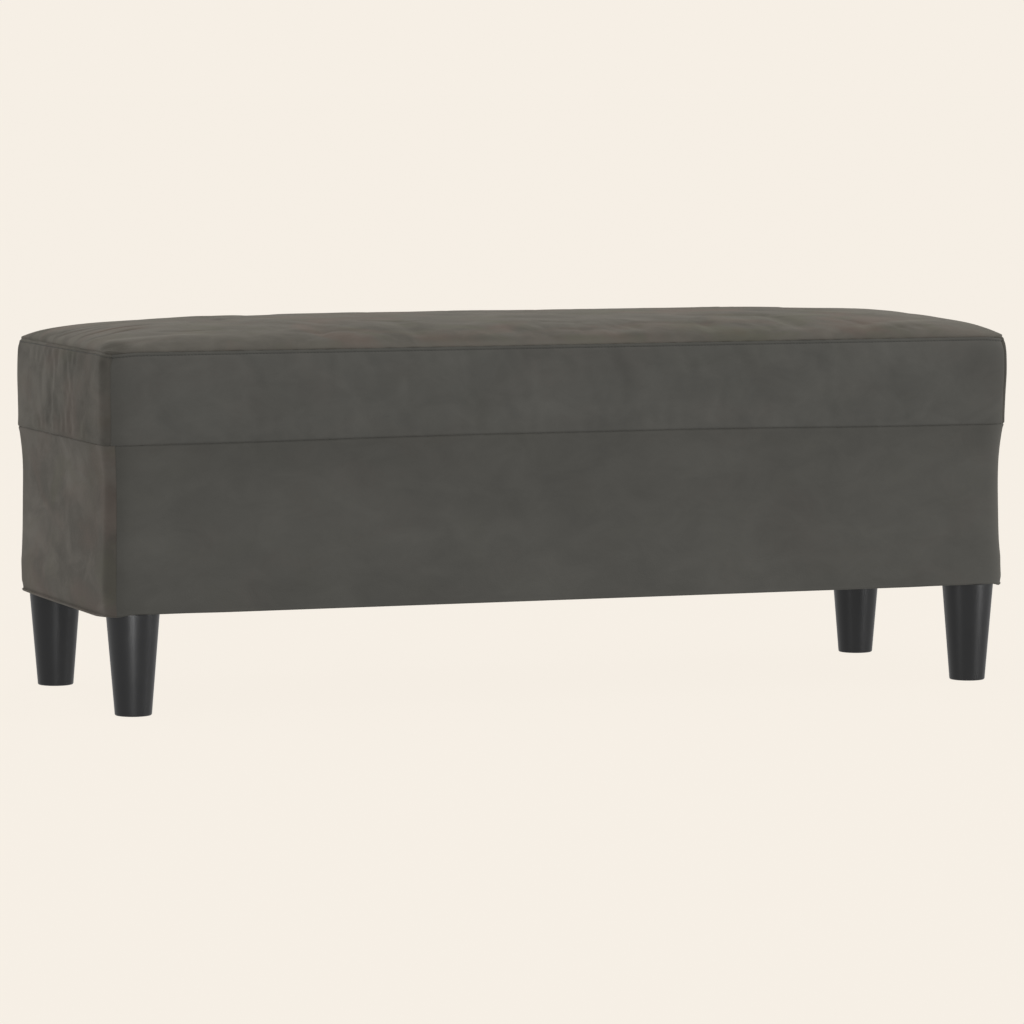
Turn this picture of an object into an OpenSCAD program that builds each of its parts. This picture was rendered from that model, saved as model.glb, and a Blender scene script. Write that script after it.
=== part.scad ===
// Upholstered bed bench on four round tapered legs.
// The origin is on the floor under the middle of the seat, X runs along the length,
// Y from the front to the rear and Z up.

/* [Body] */
// Length of the covered body at its base
body_l = 1000; // [860:10:1200]
// Depth of the covered body at its base
body_d = 350; // [320:10:420]
// Height of the skirt, from the hem to the waist seam
skirt_h = 172.5; // [140:2.5:220]
// Height of the seat band, from the waist seam to the top seam
band_h = 92.5; // [70:2.5:120]
// Rise of the seat's crown above the top seam
crown_h = 27.2; // [16:0.2:40]
// Plan radius of the covered corners
corner_r = 20; // [16:1:24]

/* [Cover] */
// Thickness of the velvet with its backing
fabric_t = 1.6; // [1.2:0.1:2]
// How far the seat band swells out
band_bulge = 3.4; // [1:0.2:6]
// How far the skirt is drawn in
skirt_tuck = 3.2; // [1:0.2:4]
// How far the waist seam stands out from the base
waist_flare = 1.7; // [1:0.1:2.4]
// Depth of the groove that a seam pulls
seam_dip = 0.8; // [0.4:0.1:1]
// Height over which the fabric rolls into a seam
seam_roll = 1.6; // [1:0.1:3]
// Rounding where the skirt turns under the bottom frame
hem_r = 2.5; // [1.5:0.1:3.5]
// Width of the hem under the bottom frame
hem_w = 22; // [16:0.5:26]
// Thickness of the black underside cloth
dust_t = 0.5; // [0.3:0.1:0.8]
// Distance from the body's edge to the underside cloth
dust_edge = 8; // [6:0.5:10]

/* [Seat] */
// Thickness of the wadding over the foam
wadding_t = 5; // [3:0.5:8]
// Thickness of the plywood deck under the foam
deck_t = 9; // [6:0.5:12]

/* [Frame] */
// Thickness of the bottom rails, which lie flat
rail_t = 28; // [24:1:34]
// Width of the bottom rails
rail_w = 60; // [54:1:70]
// Height of the top rails
top_rail_h = 40; // [36:1:50]
// Thickness of the top rails
top_rail_t = 20; // [18:1:24]
// Thickness of the slats under the deck
slat_t = 20; // [16:1:22]
// Width of the slats under the deck
slat_w = 40; // [30:1:60]
// Width of the posts
post_w = 40; // [30:1:50]
// Thickness of the posts
post_t = 25; // [22:1:32]
// Distance from the body's end to the middle of the end posts
post_set = 80; // [76:1:100]

/* [Legs] */
// Height of a leg
leg_h = 104.5; // [80:0.5:150]
// Radius of a leg at the top
leg_top_r = 27.4; // [26:0.1:29]
// Radius of a leg at the foot
leg_foot_r = 19; // [16:0.5:24]
// Rounding of the foot's edge
foot_round = 1.6; // [0.8:0.1:2.4]
// Wall of the moulded leg
leg_wall = 3; // [2.4:0.1:4]
// Distance from the leg's rim to the body's long side
leg_side_gap = 0.5; // [0.3:0.1:4]
// Distance from the leg's rim to the body's end
leg_end_gap = 5.8; // [4:0.1:9]
// Radius of the boss around the bolt
boss_r = 8; // [7:0.5:9]
// Thickness of the ribs inside a leg
rib_t = 2; // [1.6:0.1:3]

/* [Fasteners] */
// Radius of a leg bolt
bolt_r = 4; // [3:0.5:4]
// Depth of a leg bolt in its leg
bolt_depth = 45; // [30:1:60]
// Radius of a tee nut's barrel
tee_barrel_r = 5; // [4.8:0.1:5.6]
// Length of a tee nut's barrel
tee_barrel_h = 11; // [8:0.5:14]
// Radius of a tee nut's flange
tee_flange_r = 9.5; // [8.5:0.5:10.5]
// Thickness of a tee nut's flange
tee_flange_t = 1.5; // [1:0.1:2]
// Radius of a dowel
dowel_r = 4; // [3:0.5:5]
// Length of a dowel
dowel_l = 40; // [30:2:44]
// Radius of a screw's shank
screw_r = 2; // [1.6:0.1:2.4]
// Radius of a screw's head
screw_head_r = 4; // [3.6:0.1:4.6]
// Length of a seat frame screw
frame_screw_l = 38; // [34:1:40]
// Length of a post screw
post_screw_l = 60; // [50:2:70]
// Length of a deck screw
deck_screw_l = 32; // [26:1:36]
// Width of a staple
staple_w = 10; // [8:0.5:12]
// Length of a staple's legs
staple_leg_l = 8; // [6:0.5:9]
// Width of a staple's wire
wire_w = 1.2; // [1:0.1:1.4]
// Thickness of a staple's wire
wire_t = 0.6; // [0.5:0.05:0.7]
// Distance from the hem's inner edge to its staples
hem_staple_inset = 4; // [3:0.5:6]
// Distance from the body's corners to the nearest hem staples
hem_staple_end_gap = 90; // [80:5:120]
// Staples along a long side of the hem
hem_long_n = 9; // [6:1:12]
// Staples along a short side of the hem
hem_short_n = 3; // [2:1:4]
// Distance from the underside cloth's edge to its staples
dust_staple_inset = 3; // [2:0.5:5]
// Distance from the body's corners to the nearest staples of the underside cloth
dust_staple_end_gap = 130; // [110:5:140]
// Staples along a long side of the underside cloth
dust_long_n = 8; // [5:1:11]
// Staples along a short side of the underside cloth
dust_short_n = 2; // [2:1:3]

/* [Fits] */
// Gap between the cover and what it is stretched over
cover_fit = 0.3; // [0.2:0.05:0.5]
// Gap round a bolt, dowel or screw in its hole
hole_fit = 0.05; // [0.02:0.01:0.1]
// Gap round a staple
staple_fit = 0.1; // [0.05:0.01:0.2]
// Gap round a leg bolt where it passes through cloth
cloth_fit = 1; // [0.6:0.1:2]

/* [Hidden] */
$fn = 64;

// Colours of the real materials
velvet = [0.32, 0.31, 0.29];
black_plastic = [0.09, 0.09, 0.09];
pine = [0.80, 0.66, 0.46];
plywood = [0.74, 0.60, 0.42];
zinc = [0.70, 0.70, 0.72];
foam_white = [0.93, 0.90, 0.80];
wadding_white = [0.95, 0.95, 0.94];
black_cloth = [0.07, 0.07, 0.08];

// Heights, from the floor up
base_z = leg_h + dust_t;
rail_z = base_z + fabric_t;
rail_top = rail_z + rail_t;
waist_z = base_z + skirt_h;
deck_z = waist_z - deck_t;
slat_z = deck_z - slat_t;
top_rail_z = deck_z - top_rail_h;
top_z = waist_z + band_h;

// Form of the cover: where a bulge or a tuck is largest, and how fast it fades
band_powers = [1.1, 0.45];
skirt_powers = [0.75, 0.5];
flare_power = 4;

// Plan positions
leg_x = body_l / 2 - leg_end_gap - leg_top_r;
leg_y = body_d / 2 - leg_side_gap - leg_top_r;
frame_edge = fabric_t + cover_fit;
top_rail_edge = frame_edge + skirt_tuck;
deck_edge = frame_edge - min(skirt_out(deck_z), 0);
rail_inner_y = body_d / 2 - frame_edge - rail_w;
rail_inner_x = body_l / 2 - frame_edge - rail_w;
top_inner_y = body_d / 2 - top_rail_edge - top_rail_t;
top_inner_x = body_l / 2 - top_rail_edge - top_rail_t;
post_x = body_l / 2 - post_set;
post_y = top_inner_y - post_t / 2;
slat_n = 5;
slat_pitch = 2 * post_x / (slat_n - 1);
hem_staple_edge = hem_w - hem_staple_inset;
dust_staple_edge = dust_edge + dust_staple_inset;
tee_z = rail_top - tee_flange_t;
bolt_top = rail_top - hole_fit;
screw_head_h = screw_head_r - screw_r;
screw_sink = 1.5;
screw_tip_r = 0.3;
slack = 1;

// Form of the crown: flatness of its middle and roundness of its shoulders
crown_end_powers = [6, 2.3];
crown_side_powers = [1.9, 2.5];
ridge_w = 10;
crown_spread = 0.35;
crown_gather = 2.2;

// Steps of the padded forms
crown_steps = 6;
end_steps = 2;
arc_steps = 4;
side_steps = 5;
end_n = end_steps + arc_steps;
quarter_n = end_n + side_steps;
ring_n = 4 * quarter_n;
skirt_steps = 9;
band_steps = 5;

// Sides of the body: each is a turn of the front
FRONT = 0;
RIGHT = 90;
REAR = 180;
LEFT = 270;

// Swell that is 0 at both ends of 0 to 1, and 1 at its fullest
function swell(t, powers) =
    let (a = powers[0], b = powers[1], peak = a / (a + b))
    pow(t, a) * pow(1 - t, b) / (pow(peak, a) * pow(1 - peak, b));

// Distance of the skirt's face outside the base outline, at a height above the bottom frame
function skirt_out(z) =
    let (t = (z - rail_top) / (waist_z - rail_top))
    waist_flare * pow(t, flare_power) - skirt_tuck * swell(t, skirt_powers);

// Distance of the seat band's face outside the base outline
function band_out(z) =
    let (t = (z - waist_z) / band_h)
    waist_flare * (1 - t) + band_bulge * swell(t, band_powers);

// Face of the skirt from the turned hem to the waist seam, as distance and height
skirt_face = concat(
    [for (a = [0:30:90]) [hem_r * (sin(a) - 1), base_z + hem_r * (1 - cos(a))]],
    [[0, rail_top]],
    [for (i = [1:skirt_steps])
        let (z = rail_top + (waist_z - seam_roll - rail_top) * i / skirt_steps)
        [skirt_out(z), z]],
    [[waist_flare - seam_dip, waist_z]]
);

// Face of the seat band from the waist seam to the top seam
band_face = concat(
    [[waist_flare - seam_dip, waist_z]],
    [for (i = [0:band_steps - 1])
        let (z = waist_z + seam_roll + (band_h - 2 * seam_roll) * i / (band_steps - 1))
        [band_out(z), z]],
    [[-seam_dip, top_z]]
);

// Even positions over a span, about its middle
function spread(count, span) = [for (i = [0:count - 1]) span * (i / (count - 1) - 0.5)];

// Rounded rectangle about the origin
module outline(edge) {
    l = body_l - 2 * edge;
    d = body_d - 2 * edge;
    r = max(corner_r - edge, 0);
    square([l - 2 * r, d], center = true);
    square([l, d - 2 * r], center = true);
    if (r > 0)
        for (x = [-1, 1], y = [-1, 1])
            translate([x * (l / 2 - r), y * (d / 2 - r)]) circle(r);
}

// Part of the plan that belongs to one side: corners are shared along their diagonals
module side_share(side_l, side_d) {
    x = side_l / 2 - corner_r;
    y = corner_r - side_d / 2;
    reach = 2 * corner_r;
    polygon([
        [-x - reach, y - reach], [x + reach, y - reach],
        [x - hem_w, y + hem_w], [-x + hem_w, y + hem_w]
    ]);
}

// Length and depth of the body as one side sees them
function side_size(side) = side == FRONT || side == REAR ? [body_l, body_d] : [body_d, body_l];

// Section of a fabric wall, from its face inwards, measured from the corner's centre
module wall_section(face) {
    last = len(face) - 1;
    polygon(concat(
        [for (p = face) [corner_r + p[0], p[1]]],
        [for (i = [last:-1:0]) [corner_r + face[i][0] - fabric_t, face[i][1]]]
    ));
}

// Section of the skirt, with the start of its hem
module skirt_section() {
    last = len(skirt_face) - 1;
    hem_start = corner_r - hem_r - fabric_t;
    polygon(concat(
        [for (p = skirt_face) [corner_r + p[0], p[1]]],
        [for (i = [last:-1:4]) [corner_r + skirt_face[i][0] - fabric_t, skirt_face[i][1]]],
        [[corner_r - fabric_t, rail_z], [hem_start, rail_z], [hem_start, base_z]]
    ));
}

// Wall along one side: a straight stretch and half of each rounded corner
module side_wall(side_l, side_d) {
    x = side_l / 2 - corner_r;
    y = corner_r - side_d / 2;
    translate([-x, y, 0])
        rotate([90, 0, 90])
            linear_extrude(2 * x) mirror([1, 0]) children();
    translate([-x, y, 0])
        rotate([0, 0, -135]) rotate_extrude(angle = 45) children();
    translate([x, y, 0])
        rotate([0, 0, -90]) rotate_extrude(angle = 45) children();
}

// Hem of one side, flat under the bottom frame
module side_hem(side_l, side_d) {
    x = side_l / 2 - corner_r;
    y = corner_r - side_d / 2;
    translate([0, 0, base_z])
        linear_extrude(fabric_t)
            intersection() {
                difference() {
                    if (side_l == body_l) outline(hem_r);
                    else rotate(90) outline(hem_r);
                    square([side_l - 2 * hem_w, side_d - 2 * hem_w], center = true);
                }
                side_share(side_l, side_d);
            }
}

// Point of a rounded rectangle's first quarter, from the middle of its end to the middle of its side
function quarter_point(j, half_l, half_d, r) =
    j < end_steps ? [half_l, (half_d - r) * j / end_steps]
    : j < end_n ?
        let (a = 90 * (j - end_steps) / arc_steps)
        [half_l - r + r * cos(a), half_d - r + r * sin(a)]
    : [(half_l - r) * sin(90 * (quarter_n - j) / side_steps), half_d];

// Point of the whole rounded rectangle, counted from the middle of its right end
function ring_point(i, half_l, half_d, r) =
    let (
        q = floor(i / quarter_n),
        j = i % quarter_n,
        p = quarter_point(q % 2 == 0 ? j : quarter_n - j, half_l, half_d, r)
    )
    [q == 0 || q == 3 ? p[0] : -p[0], q < 2 ? p[1] : -p[1]];

// Share of the crown's full height at a place, each way from 0 in the middle to 1 at the seam
function crown_share(u, v) =
    pow(1 - pow(abs(u), crown_end_powers[0]), 1 / crown_end_powers[1])
    * pow(1 - pow(abs(v), crown_side_powers[0]), 1 / crown_side_powers[1]);

// Upright rings of a layer that lies a depth inside the cover's face
function side_rings(depth) = [
    for (p = band_face)
        [for (i = [0:ring_n - 1])
            concat(ring_point(i, body_l / 2 + p[0] - depth, body_d / 2 + p[0] - depth,
                corner_r + p[0] - depth), p[1])]
];

// Rings of a layer's crown, from the top seam in to the ridge
function crown_rings(depth, first) =
    let (
        half_l = body_l / 2 - seam_dip - depth,
        half_d = body_d / 2 - seam_dip - depth,
        r = corner_r - seam_dip - depth
    )
    [for (k = [first:crown_steps])
        let (
            s = (half_d - ridge_w) * pow(k / crown_steps, crown_gather),
            ring_r = min(r + crown_spread * s, 0.9 * (half_d - s))
        )
        [for (i = [0:ring_n - 1])
            let (
                p = ring_point(i, half_l - s, half_d - s, ring_r),
                share = k == 0 ? 0 : crown_share(p[0] / half_l, p[1] / half_d)
            )
            [p[0], p[1], top_z + (crown_h - depth) * share]]];

// Points along the ridge that closes a ring, below or above the ring's long sides
function ridge_points(ring, heights) = [
    for (j = [0:2 * side_steps]) [ring[end_n + j][0], 0, heights[j]]
];

// Triangles that close a ring over its ridge
function cap(ring_start, ridge_start) =
    let (half_n = ring_n / 2, last = 2 * side_steps)
    concat(
        [for (i = [-end_n:end_n - 1])
            [ring_start + (i + 1 + ring_n) % ring_n, ring_start + (i + ring_n) % ring_n, ridge_start]],
        [for (i = [half_n - end_n:half_n + end_n - 1])
            [ring_start + i + 1, ring_start + i, ridge_start + last]],
        [for (j = [0:last - 1], back = [0, 1])
            let (
                a = ring_start + end_n + j + back * half_n,
                p = ridge_start + (back == 1 ? last - j : j),
                q = ridge_start + (back == 1 ? last - j - 1 : j + 1)
            )
            each [[a + 1, a, p], [a + 1, p, q]]]
    );

// Triangles of the skin over rings that climb from the rim, and over the ridge after them
function skin(start, ring_count) = concat(
    [for (k = [0:ring_count - 2], i = [0:ring_n - 1])
        let (a = start + k * ring_n + i, c = start + (k + 1) * ring_n + (i + 1) % ring_n)
        each [[a, a + ring_n, c], [a, c, c - ring_n]]],
    cap(start + (ring_count - 1) * ring_n, start + ring_count * ring_n)
);

// The same triangles, facing the other way
function turned(faces) = [for (f = faces) [f[2], f[1], f[0]]];

// Ridge of a layer's crown
function crown_ridge(depth, rings) =
    let (half_l = body_l / 2 - seam_dip - depth, top = rings[len(rings) - 1])
    ridge_points(top, [for (j = [0:2 * side_steps])
        top_z + (crown_h - depth) * crown_share(top[end_n + j][0] / half_l, 0)]);

// Closed layer between an outer and an inner set of rings, each at its depth in the seat
module padded_layer(outer, outer_depth, inner, inner_depth) {
    outer_ridge = crown_ridge(outer_depth, outer);
    base = len(outer) * ring_n + len(outer_ridge);
    rim = [for (i = [0:ring_n - 1])
        let (n = (i + 1) % ring_n)
        each [[i, n, base + n], [i, base + n, base + i]]];
    polyhedron(
        points = concat([for (r = outer) each r], outer_ridge,
            [for (r = inner) each r], crown_ridge(inner_depth, inner)),
        faces = concat(skin(0, len(outer)), turned(skin(base, len(inner))), rim)
    );
}

// Closed pad with a flat underside
module padded_block(rings, depth) {
    ridge = crown_ridge(depth, rings);
    flat = ridge_points(rings[0], [for (j = [0:2 * side_steps]) rings[0][0][2]]);
    polyhedron(
        points = concat([for (r = rings) each r], ridge, flat),
        faces = concat(skin(0, len(rings)), turned(cap(0, len(rings) * ring_n + len(ridge))))
    );
}

// Countersunk screw with its head's face at the origin and its point down
module screw(length) {
    translate([0, 0, -screw_head_h]) cylinder(h = screw_head_h, r1 = screw_r, r2 = screw_head_r);
    translate([0, 0, 2 * screw_r - length]) cylinder(h = length - 2 * screw_r, r = screw_r);
    translate([0, 0, -length]) cylinder(h = 2 * screw_r, r1 = screw_tip_r, r2 = screw_r);
}

// Room that a screw takes in wood, open above its head
module screw_room(length) {
    wide = screw_head_r + hole_fit;
    translate([0, 0, -screw_head_h - hole_fit])
        cylinder(h = screw_head_h, r1 = screw_r + hole_fit, r2 = wide);
    translate([0, 0, -length - hole_fit]) cylinder(h = length, r = screw_r + hole_fit);
    translate([0, 0, -hole_fit]) cylinder(h = 4 * screw_sink, r = wide);
}

// Staple with its crown at the origin and its legs up, or the room it takes with a fit round it
module staple(fit) {
    wide = wire_w + 2 * fit;
    leg = wire_t + 2 * fit;
    translate([-staple_w / 2 - fit, -wide / 2, 0]) cube([staple_w + 2 * fit, wide, wire_t + fit]);
    for (x = [-1, 1])
        translate([x * (staple_w - wire_t) / 2 - leg / 2, -wide / 2, 0])
            cube([leg, wide, staple_leg_l + fit]);
}

// Places of the legs
module at_legs() {
    for (x = [-leg_x, leg_x], y = [-leg_y, leg_y]) translate([x, y, 0]) children();
}

// Places of the screws that hold the slats, the posts and the end rails to the long top rails
module at_frame_screws() {
    end_x = top_inner_x + top_rail_t / 3;
    post_screw_z = (top_rail_z + slat_z) / 2;
    spots = concat(
        [for (x = spread(slat_n, 2 * post_x)) [x, slat_z + slat_t / 2]],
        [for (x = [-post_x, 0, post_x]) [x, post_screw_z]],
        [for (x = [-end_x, end_x]) [x, top_rail_z + top_rail_h / 2]]
    );
    for (side = [-1, 1], s = spots)
        translate([s[0], side * (body_d / 2 - top_rail_edge - screw_sink), s[1]])
            rotate([-90 * side, 0, 0]) children();
}

// Places of the screws that hold the posts, from below
module at_post_screws() {
    for (x = [-post_x, 0, post_x], y = [-post_y, post_y])
        translate([x, y, rail_z + screw_sink]) rotate([180, 0, 0]) children();
}

// Places of the screws that hold the deck, between the slats and on the end rails
module at_deck_screws() {
    side_y = top_inner_y + top_rail_t / 2;
    end_x = top_inner_x + top_rail_t / 2;
    spots = concat(
        [for (x = spread(slat_n - 1, 2 * post_x - slat_pitch), y = [-side_y, side_y]) [x, y]],
        [for (x = [-end_x, end_x], y = [-top_inner_y / 2, top_inner_y / 2]) [x, y]]
    );
    for (s = spots) translate([s[0], s[1], waist_z - hole_fit]) children();
}

// Places of the dowels between the bottom rails
module at_dowels() {
    mid_z = rail_z + rail_t / 2;
    end_x = rail_inner_x + rail_w / 2;
    for (x = [-end_x, 0, end_x], step = [-rail_w / 5, rail_w / 5], y = [-rail_inner_y, rail_inner_y])
        translate([x + step, y, mid_z]) rotate([90, 0, 0]) children();
}

// Places of a row of staples along every side, at a distance from the body's edge
module at_staples(edge, long_n, short_n, end_gap) {
    for (x = spread(long_n, body_l - 2 * end_gap), y = [-1, 1])
        translate([x, y * (body_d / 2 - edge), 0]) children();
    for (y = spread(short_n, body_d - 2 * end_gap), x = [-1, 1])
        translate([x * (body_l / 2 - edge), y, 0]) rotate(90) children();
}

// Staples that hold the hem to the bottom rails
module at_hem_staples() {
    at_staples(hem_staple_edge, hem_long_n, hem_short_n, hem_staple_end_gap)
        translate([0, 0, base_z]) children();
}

// Staples that hold the underside cloth, over the hem
module at_dust_staples() {
    at_staples(dust_staple_edge, dust_long_n, dust_short_n, dust_staple_end_gap)
        translate([0, 0, leg_h - wire_t]) children();
}

// Moulded hollow leg with a boss for its bolt and ribs that brace it
module leg(x, y) {
    slope = (leg_top_r - leg_foot_r) / leg_h;
    inner_foot_r = leg_foot_r + slope * leg_wall - leg_wall;
    inner_top_r = leg_top_r - leg_wall;
    cavity_h = leg_h - leg_wall;
    rib_root = leg_wall / 2;
    color(black_plastic)
        translate([x, y, 0])
            difference() {
                union() {
                    rotate_extrude()
                        polygon(concat(
                            [[0, 0]],
                            [for (a = [0:22.5:90])
                                [leg_foot_r - foot_round * (1 - sin(a)), foot_round * (1 - cos(a))]],
                            [[leg_top_r, leg_h], [inner_top_r, leg_h]],
                            [[inner_foot_r, leg_wall], [0, leg_wall]]
                        ));
                    cylinder(h = leg_h, r = boss_r);
                    intersection() {
                        for (a = [0:60:120])
                            rotate([0, 0, a])
                                translate([-leg_top_r, -rib_t / 2, rib_root])
                                    cube([2 * leg_top_r, rib_t, cavity_h]);
                        translate([0, 0, rib_root])
                            cylinder(h = cavity_h, r1 = inner_foot_r + rib_root,
                                r2 = inner_top_r + rib_root);
                    }
                }
                translate([0, 0, leg_h - bolt_depth - hole_fit])
                    cylinder(h = bolt_depth + slack, r = bolt_r + hole_fit);
            }
}

module leg_front_left() leg(-leg_x, -leg_y);
module leg_front_right() leg(leg_x, -leg_y);
module leg_rear_left() leg(-leg_x, leg_y);
module leg_rear_right() leg(leg_x, leg_y);

// Studs that stand out of the legs' bosses
module leg_bolts() {
    color(zinc)
        at_legs()
            translate([0, 0, leg_h - bolt_depth])
                cylinder(h = bolt_top - leg_h + bolt_depth, r = bolt_r);
}

// Flanged nuts let into the top of the bottom rails
module tee_nuts() {
    color(zinc)
        at_legs()
            difference() {
                union() {
                    translate([0, 0, tee_z]) cylinder(h = tee_flange_t, r = tee_flange_r);
                    translate([0, 0, tee_z - tee_barrel_h])
                        cylinder(h = tee_barrel_h + tee_flange_t / 2, r = tee_barrel_r);
                }
                translate([0, 0, tee_z - tee_barrel_h - slack])
                    cylinder(h = tee_barrel_h + tee_flange_t + 2 * slack, r = bolt_r + hole_fit);
            }
}

// What the bottom rails make room for
module bottom_rail_cuts() {
    at_legs() {
        translate([0, 0, rail_z - slack])
            cylinder(h = rail_t + 2 * slack, r = tee_barrel_r + hole_fit);
        translate([0, 0, tee_z]) cylinder(h = 2 * tee_flange_t, r = tee_flange_r + hole_fit);
    }
    at_dowels() cylinder(h = dowel_l + 2 * hole_fit, r = dowel_r + hole_fit, center = true);
    at_post_screws() screw_room(post_screw_l);
    at_hem_staples() staple(staple_fit);
    at_dust_staples() staple(staple_fit);
}

// Long bottom rail, which carries two legs and three posts
module long_bottom_rail(y) {
    color(pine)
        difference() {
            translate([0, 0, rail_z])
                linear_extrude(rail_t)
                    intersection() {
                        outline(frame_edge);
                        translate([0, y * (rail_inner_y + rail_w / 2)])
                            square([body_l, rail_w], center = true);
                    }
            bottom_rail_cuts();
        }
}

// Short bottom rail, dowelled between the long ones
module short_bottom_rail(x) {
    color(pine)
        difference() {
            translate([x, 0, rail_z + rail_t / 2])
                cube([rail_w, 2 * rail_inner_y, rail_t], center = true);
            bottom_rail_cuts();
        }
}

module bottom_rail_front() long_bottom_rail(-1);
module bottom_rail_rear() long_bottom_rail(1);
module bottom_rail_left() short_bottom_rail(-rail_inner_x - rail_w / 2);
module bottom_rail_right() short_bottom_rail(rail_inner_x + rail_w / 2);
module bottom_cross_rail() short_bottom_rail(0);

module rail_dowels() {
    color(pine)
        at_dowels() cylinder(h = dowel_l, r = dowel_r, center = true);
}

// Post behind a long top rail, under a slat
module post(x, y) {
    color(pine)
        difference() {
            translate([x - post_w / 2, y - post_t / 2, rail_top])
                cube([post_w, post_t, slat_z - rail_top]);
            at_post_screws() screw_room(post_screw_l);
            at_frame_screws() screw_room(frame_screw_l);
        }
}

module post_front_left() post(-post_x, -post_y);
module post_front_middle() post(0, -post_y);
module post_front_right() post(post_x, -post_y);
module post_rear_left() post(-post_x, post_y);
module post_rear_middle() post(0, post_y);
module post_rear_right() post(post_x, post_y);

module post_screws() {
    color(zinc) at_post_screws() screw(post_screw_l);
}

// What the seat frame makes room for
module top_rail_cuts() {
    at_frame_screws() screw_room(frame_screw_l);
    at_deck_screws() screw_room(deck_screw_l);
}

module long_top_rail(y) {
    color(pine)
        difference() {
            translate([0, 0, top_rail_z])
                linear_extrude(top_rail_h)
                    intersection() {
                        outline(top_rail_edge);
                        translate([0, y * (top_inner_y + top_rail_t / 2)])
                            square([body_l, top_rail_t], center = true);
                    }
            top_rail_cuts();
        }
}

module short_top_rail(x) {
    color(pine)
        difference() {
            translate([x, 0, top_rail_z + top_rail_h / 2])
                cube([top_rail_t, 2 * top_inner_y, top_rail_h], center = true);
            top_rail_cuts();
        }
}

module top_rail_front() long_top_rail(-1);
module top_rail_rear() long_top_rail(1);
module top_rail_left() short_top_rail(-top_inner_x - top_rail_t / 2);
module top_rail_right() short_top_rail(top_inner_x + top_rail_t / 2);

// Slat across the seat frame, flush with the top of its rails, counted from the left
module seat_slat(number) {
    color(pine)
        difference() {
            translate([spread(slat_n, 2 * post_x)[number - 1], 0, slat_z + slat_t / 2])
                cube([slat_w, 2 * top_inner_y, slat_t], center = true);
            at_frame_screws() screw_room(frame_screw_l);
        }
}

module seat_slat_1() seat_slat(1);
module seat_slat_2() seat_slat(2);
module seat_slat_3() seat_slat(3);
module seat_slat_4() seat_slat(4);
module seat_slat_5() seat_slat(5);

module frame_screws() {
    color(zinc) at_frame_screws() screw(frame_screw_l);
}

// Plywood deck that carries the foam
module seat_deck() {
    color(plywood)
        difference() {
            translate([0, 0, deck_z]) linear_extrude(deck_t) outline(deck_edge);
            at_deck_screws() screw_room(deck_screw_l);
        }
}

module deck_screws() {
    color(zinc) at_deck_screws() screw(deck_screw_l);
}

// Crowned foam block
module foam_pad() {
    depth = fabric_t + wadding_t + 2 * cover_fit;
    color(foam_white) padded_block(concat(side_rings(depth), crown_rings(depth, 1)), depth);
}

// Wadding over the top and round the sides of the foam
module wadding() {
    face = fabric_t + cover_fit;
    back = face + wadding_t;
    color(wadding_white)
        padded_layer(
            concat(side_rings(face), crown_rings(face, 1)), face,
            concat(side_rings(back), crown_rings(back, 1)), back
        );
}

// Top of the cover, sewn to the bands at the top seam
module top_panel() {
    color(velvet) padded_layer(crown_rings(0, 0), 0, crown_rings(fabric_t, 0), fabric_t);
}

// Band round the seat, one strip for each side, sewn at the corners
module band(side) {
    size = side_size(side);
    color(velvet) rotate(side) side_wall(size[0], size[1]) wall_section(band_face);
}

module band_front() band(FRONT);
module band_right() band(RIGHT);
module band_rear() band(REAR);
module band_left() band(LEFT);

// Skirt below the waist seam, turned under the bottom frame and stapled there
module skirt(side) {
    size = side_size(side);
    color(velvet)
        difference() {
            rotate(side) {
                side_wall(size[0], size[1]) skirt_section();
                side_hem(size[0], size[1]);
            }
            at_legs() cylinder(h = rail_z + slack, r = bolt_r + cloth_fit);
            at_hem_staples() staple(staple_fit);
            at_dust_staples() staple(staple_fit);
        }
}

module skirt_front() skirt(FRONT);
module skirt_right() skirt(RIGHT);
module skirt_rear() skirt(REAR);
module skirt_left() skirt(LEFT);

module hem_staples() {
    color(zinc) at_hem_staples() staple(0);
}

// Black cloth over the open underside, pierced for the leg bolts
module dust_cover() {
    color(black_cloth)
        difference() {
            translate([0, 0, leg_h]) linear_extrude(dust_t) outline(dust_edge);
            at_legs()
                translate([0, 0, leg_h - slack])
                    cylinder(h = dust_t + 2 * slack, r = bolt_r + cloth_fit);
            at_dust_staples() staple(staple_fit);
        }
}

module dust_cover_staples() {
    color(zinc) at_dust_staples() staple(0);
}

leg_front_left();
leg_front_right();
leg_rear_left();
leg_rear_right();
leg_bolts();
tee_nuts();
bottom_rail_front();
bottom_rail_rear();
bottom_rail_left();
bottom_rail_right();
bottom_cross_rail();
rail_dowels();
post_front_left();
post_front_middle();
post_front_right();
post_rear_left();
post_rear_middle();
post_rear_right();
post_screws();
top_rail_front();
top_rail_rear();
top_rail_left();
top_rail_right();
seat_slat_1();
seat_slat_2();
seat_slat_3();
seat_slat_4();
seat_slat_5();
frame_screws();
seat_deck();
deck_screws();
foam_pad();
wadding();
top_panel();
band_front();
band_rear();
band_left();
band_right();
skirt_front();
skirt_rear();
skirt_left();
skirt_right();
hem_staples();
dust_cover();
dust_cover_staples();
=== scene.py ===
"""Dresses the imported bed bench: velvet, padding, underside cloth, thread, finishes, floor, light and camera."""

import math

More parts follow.
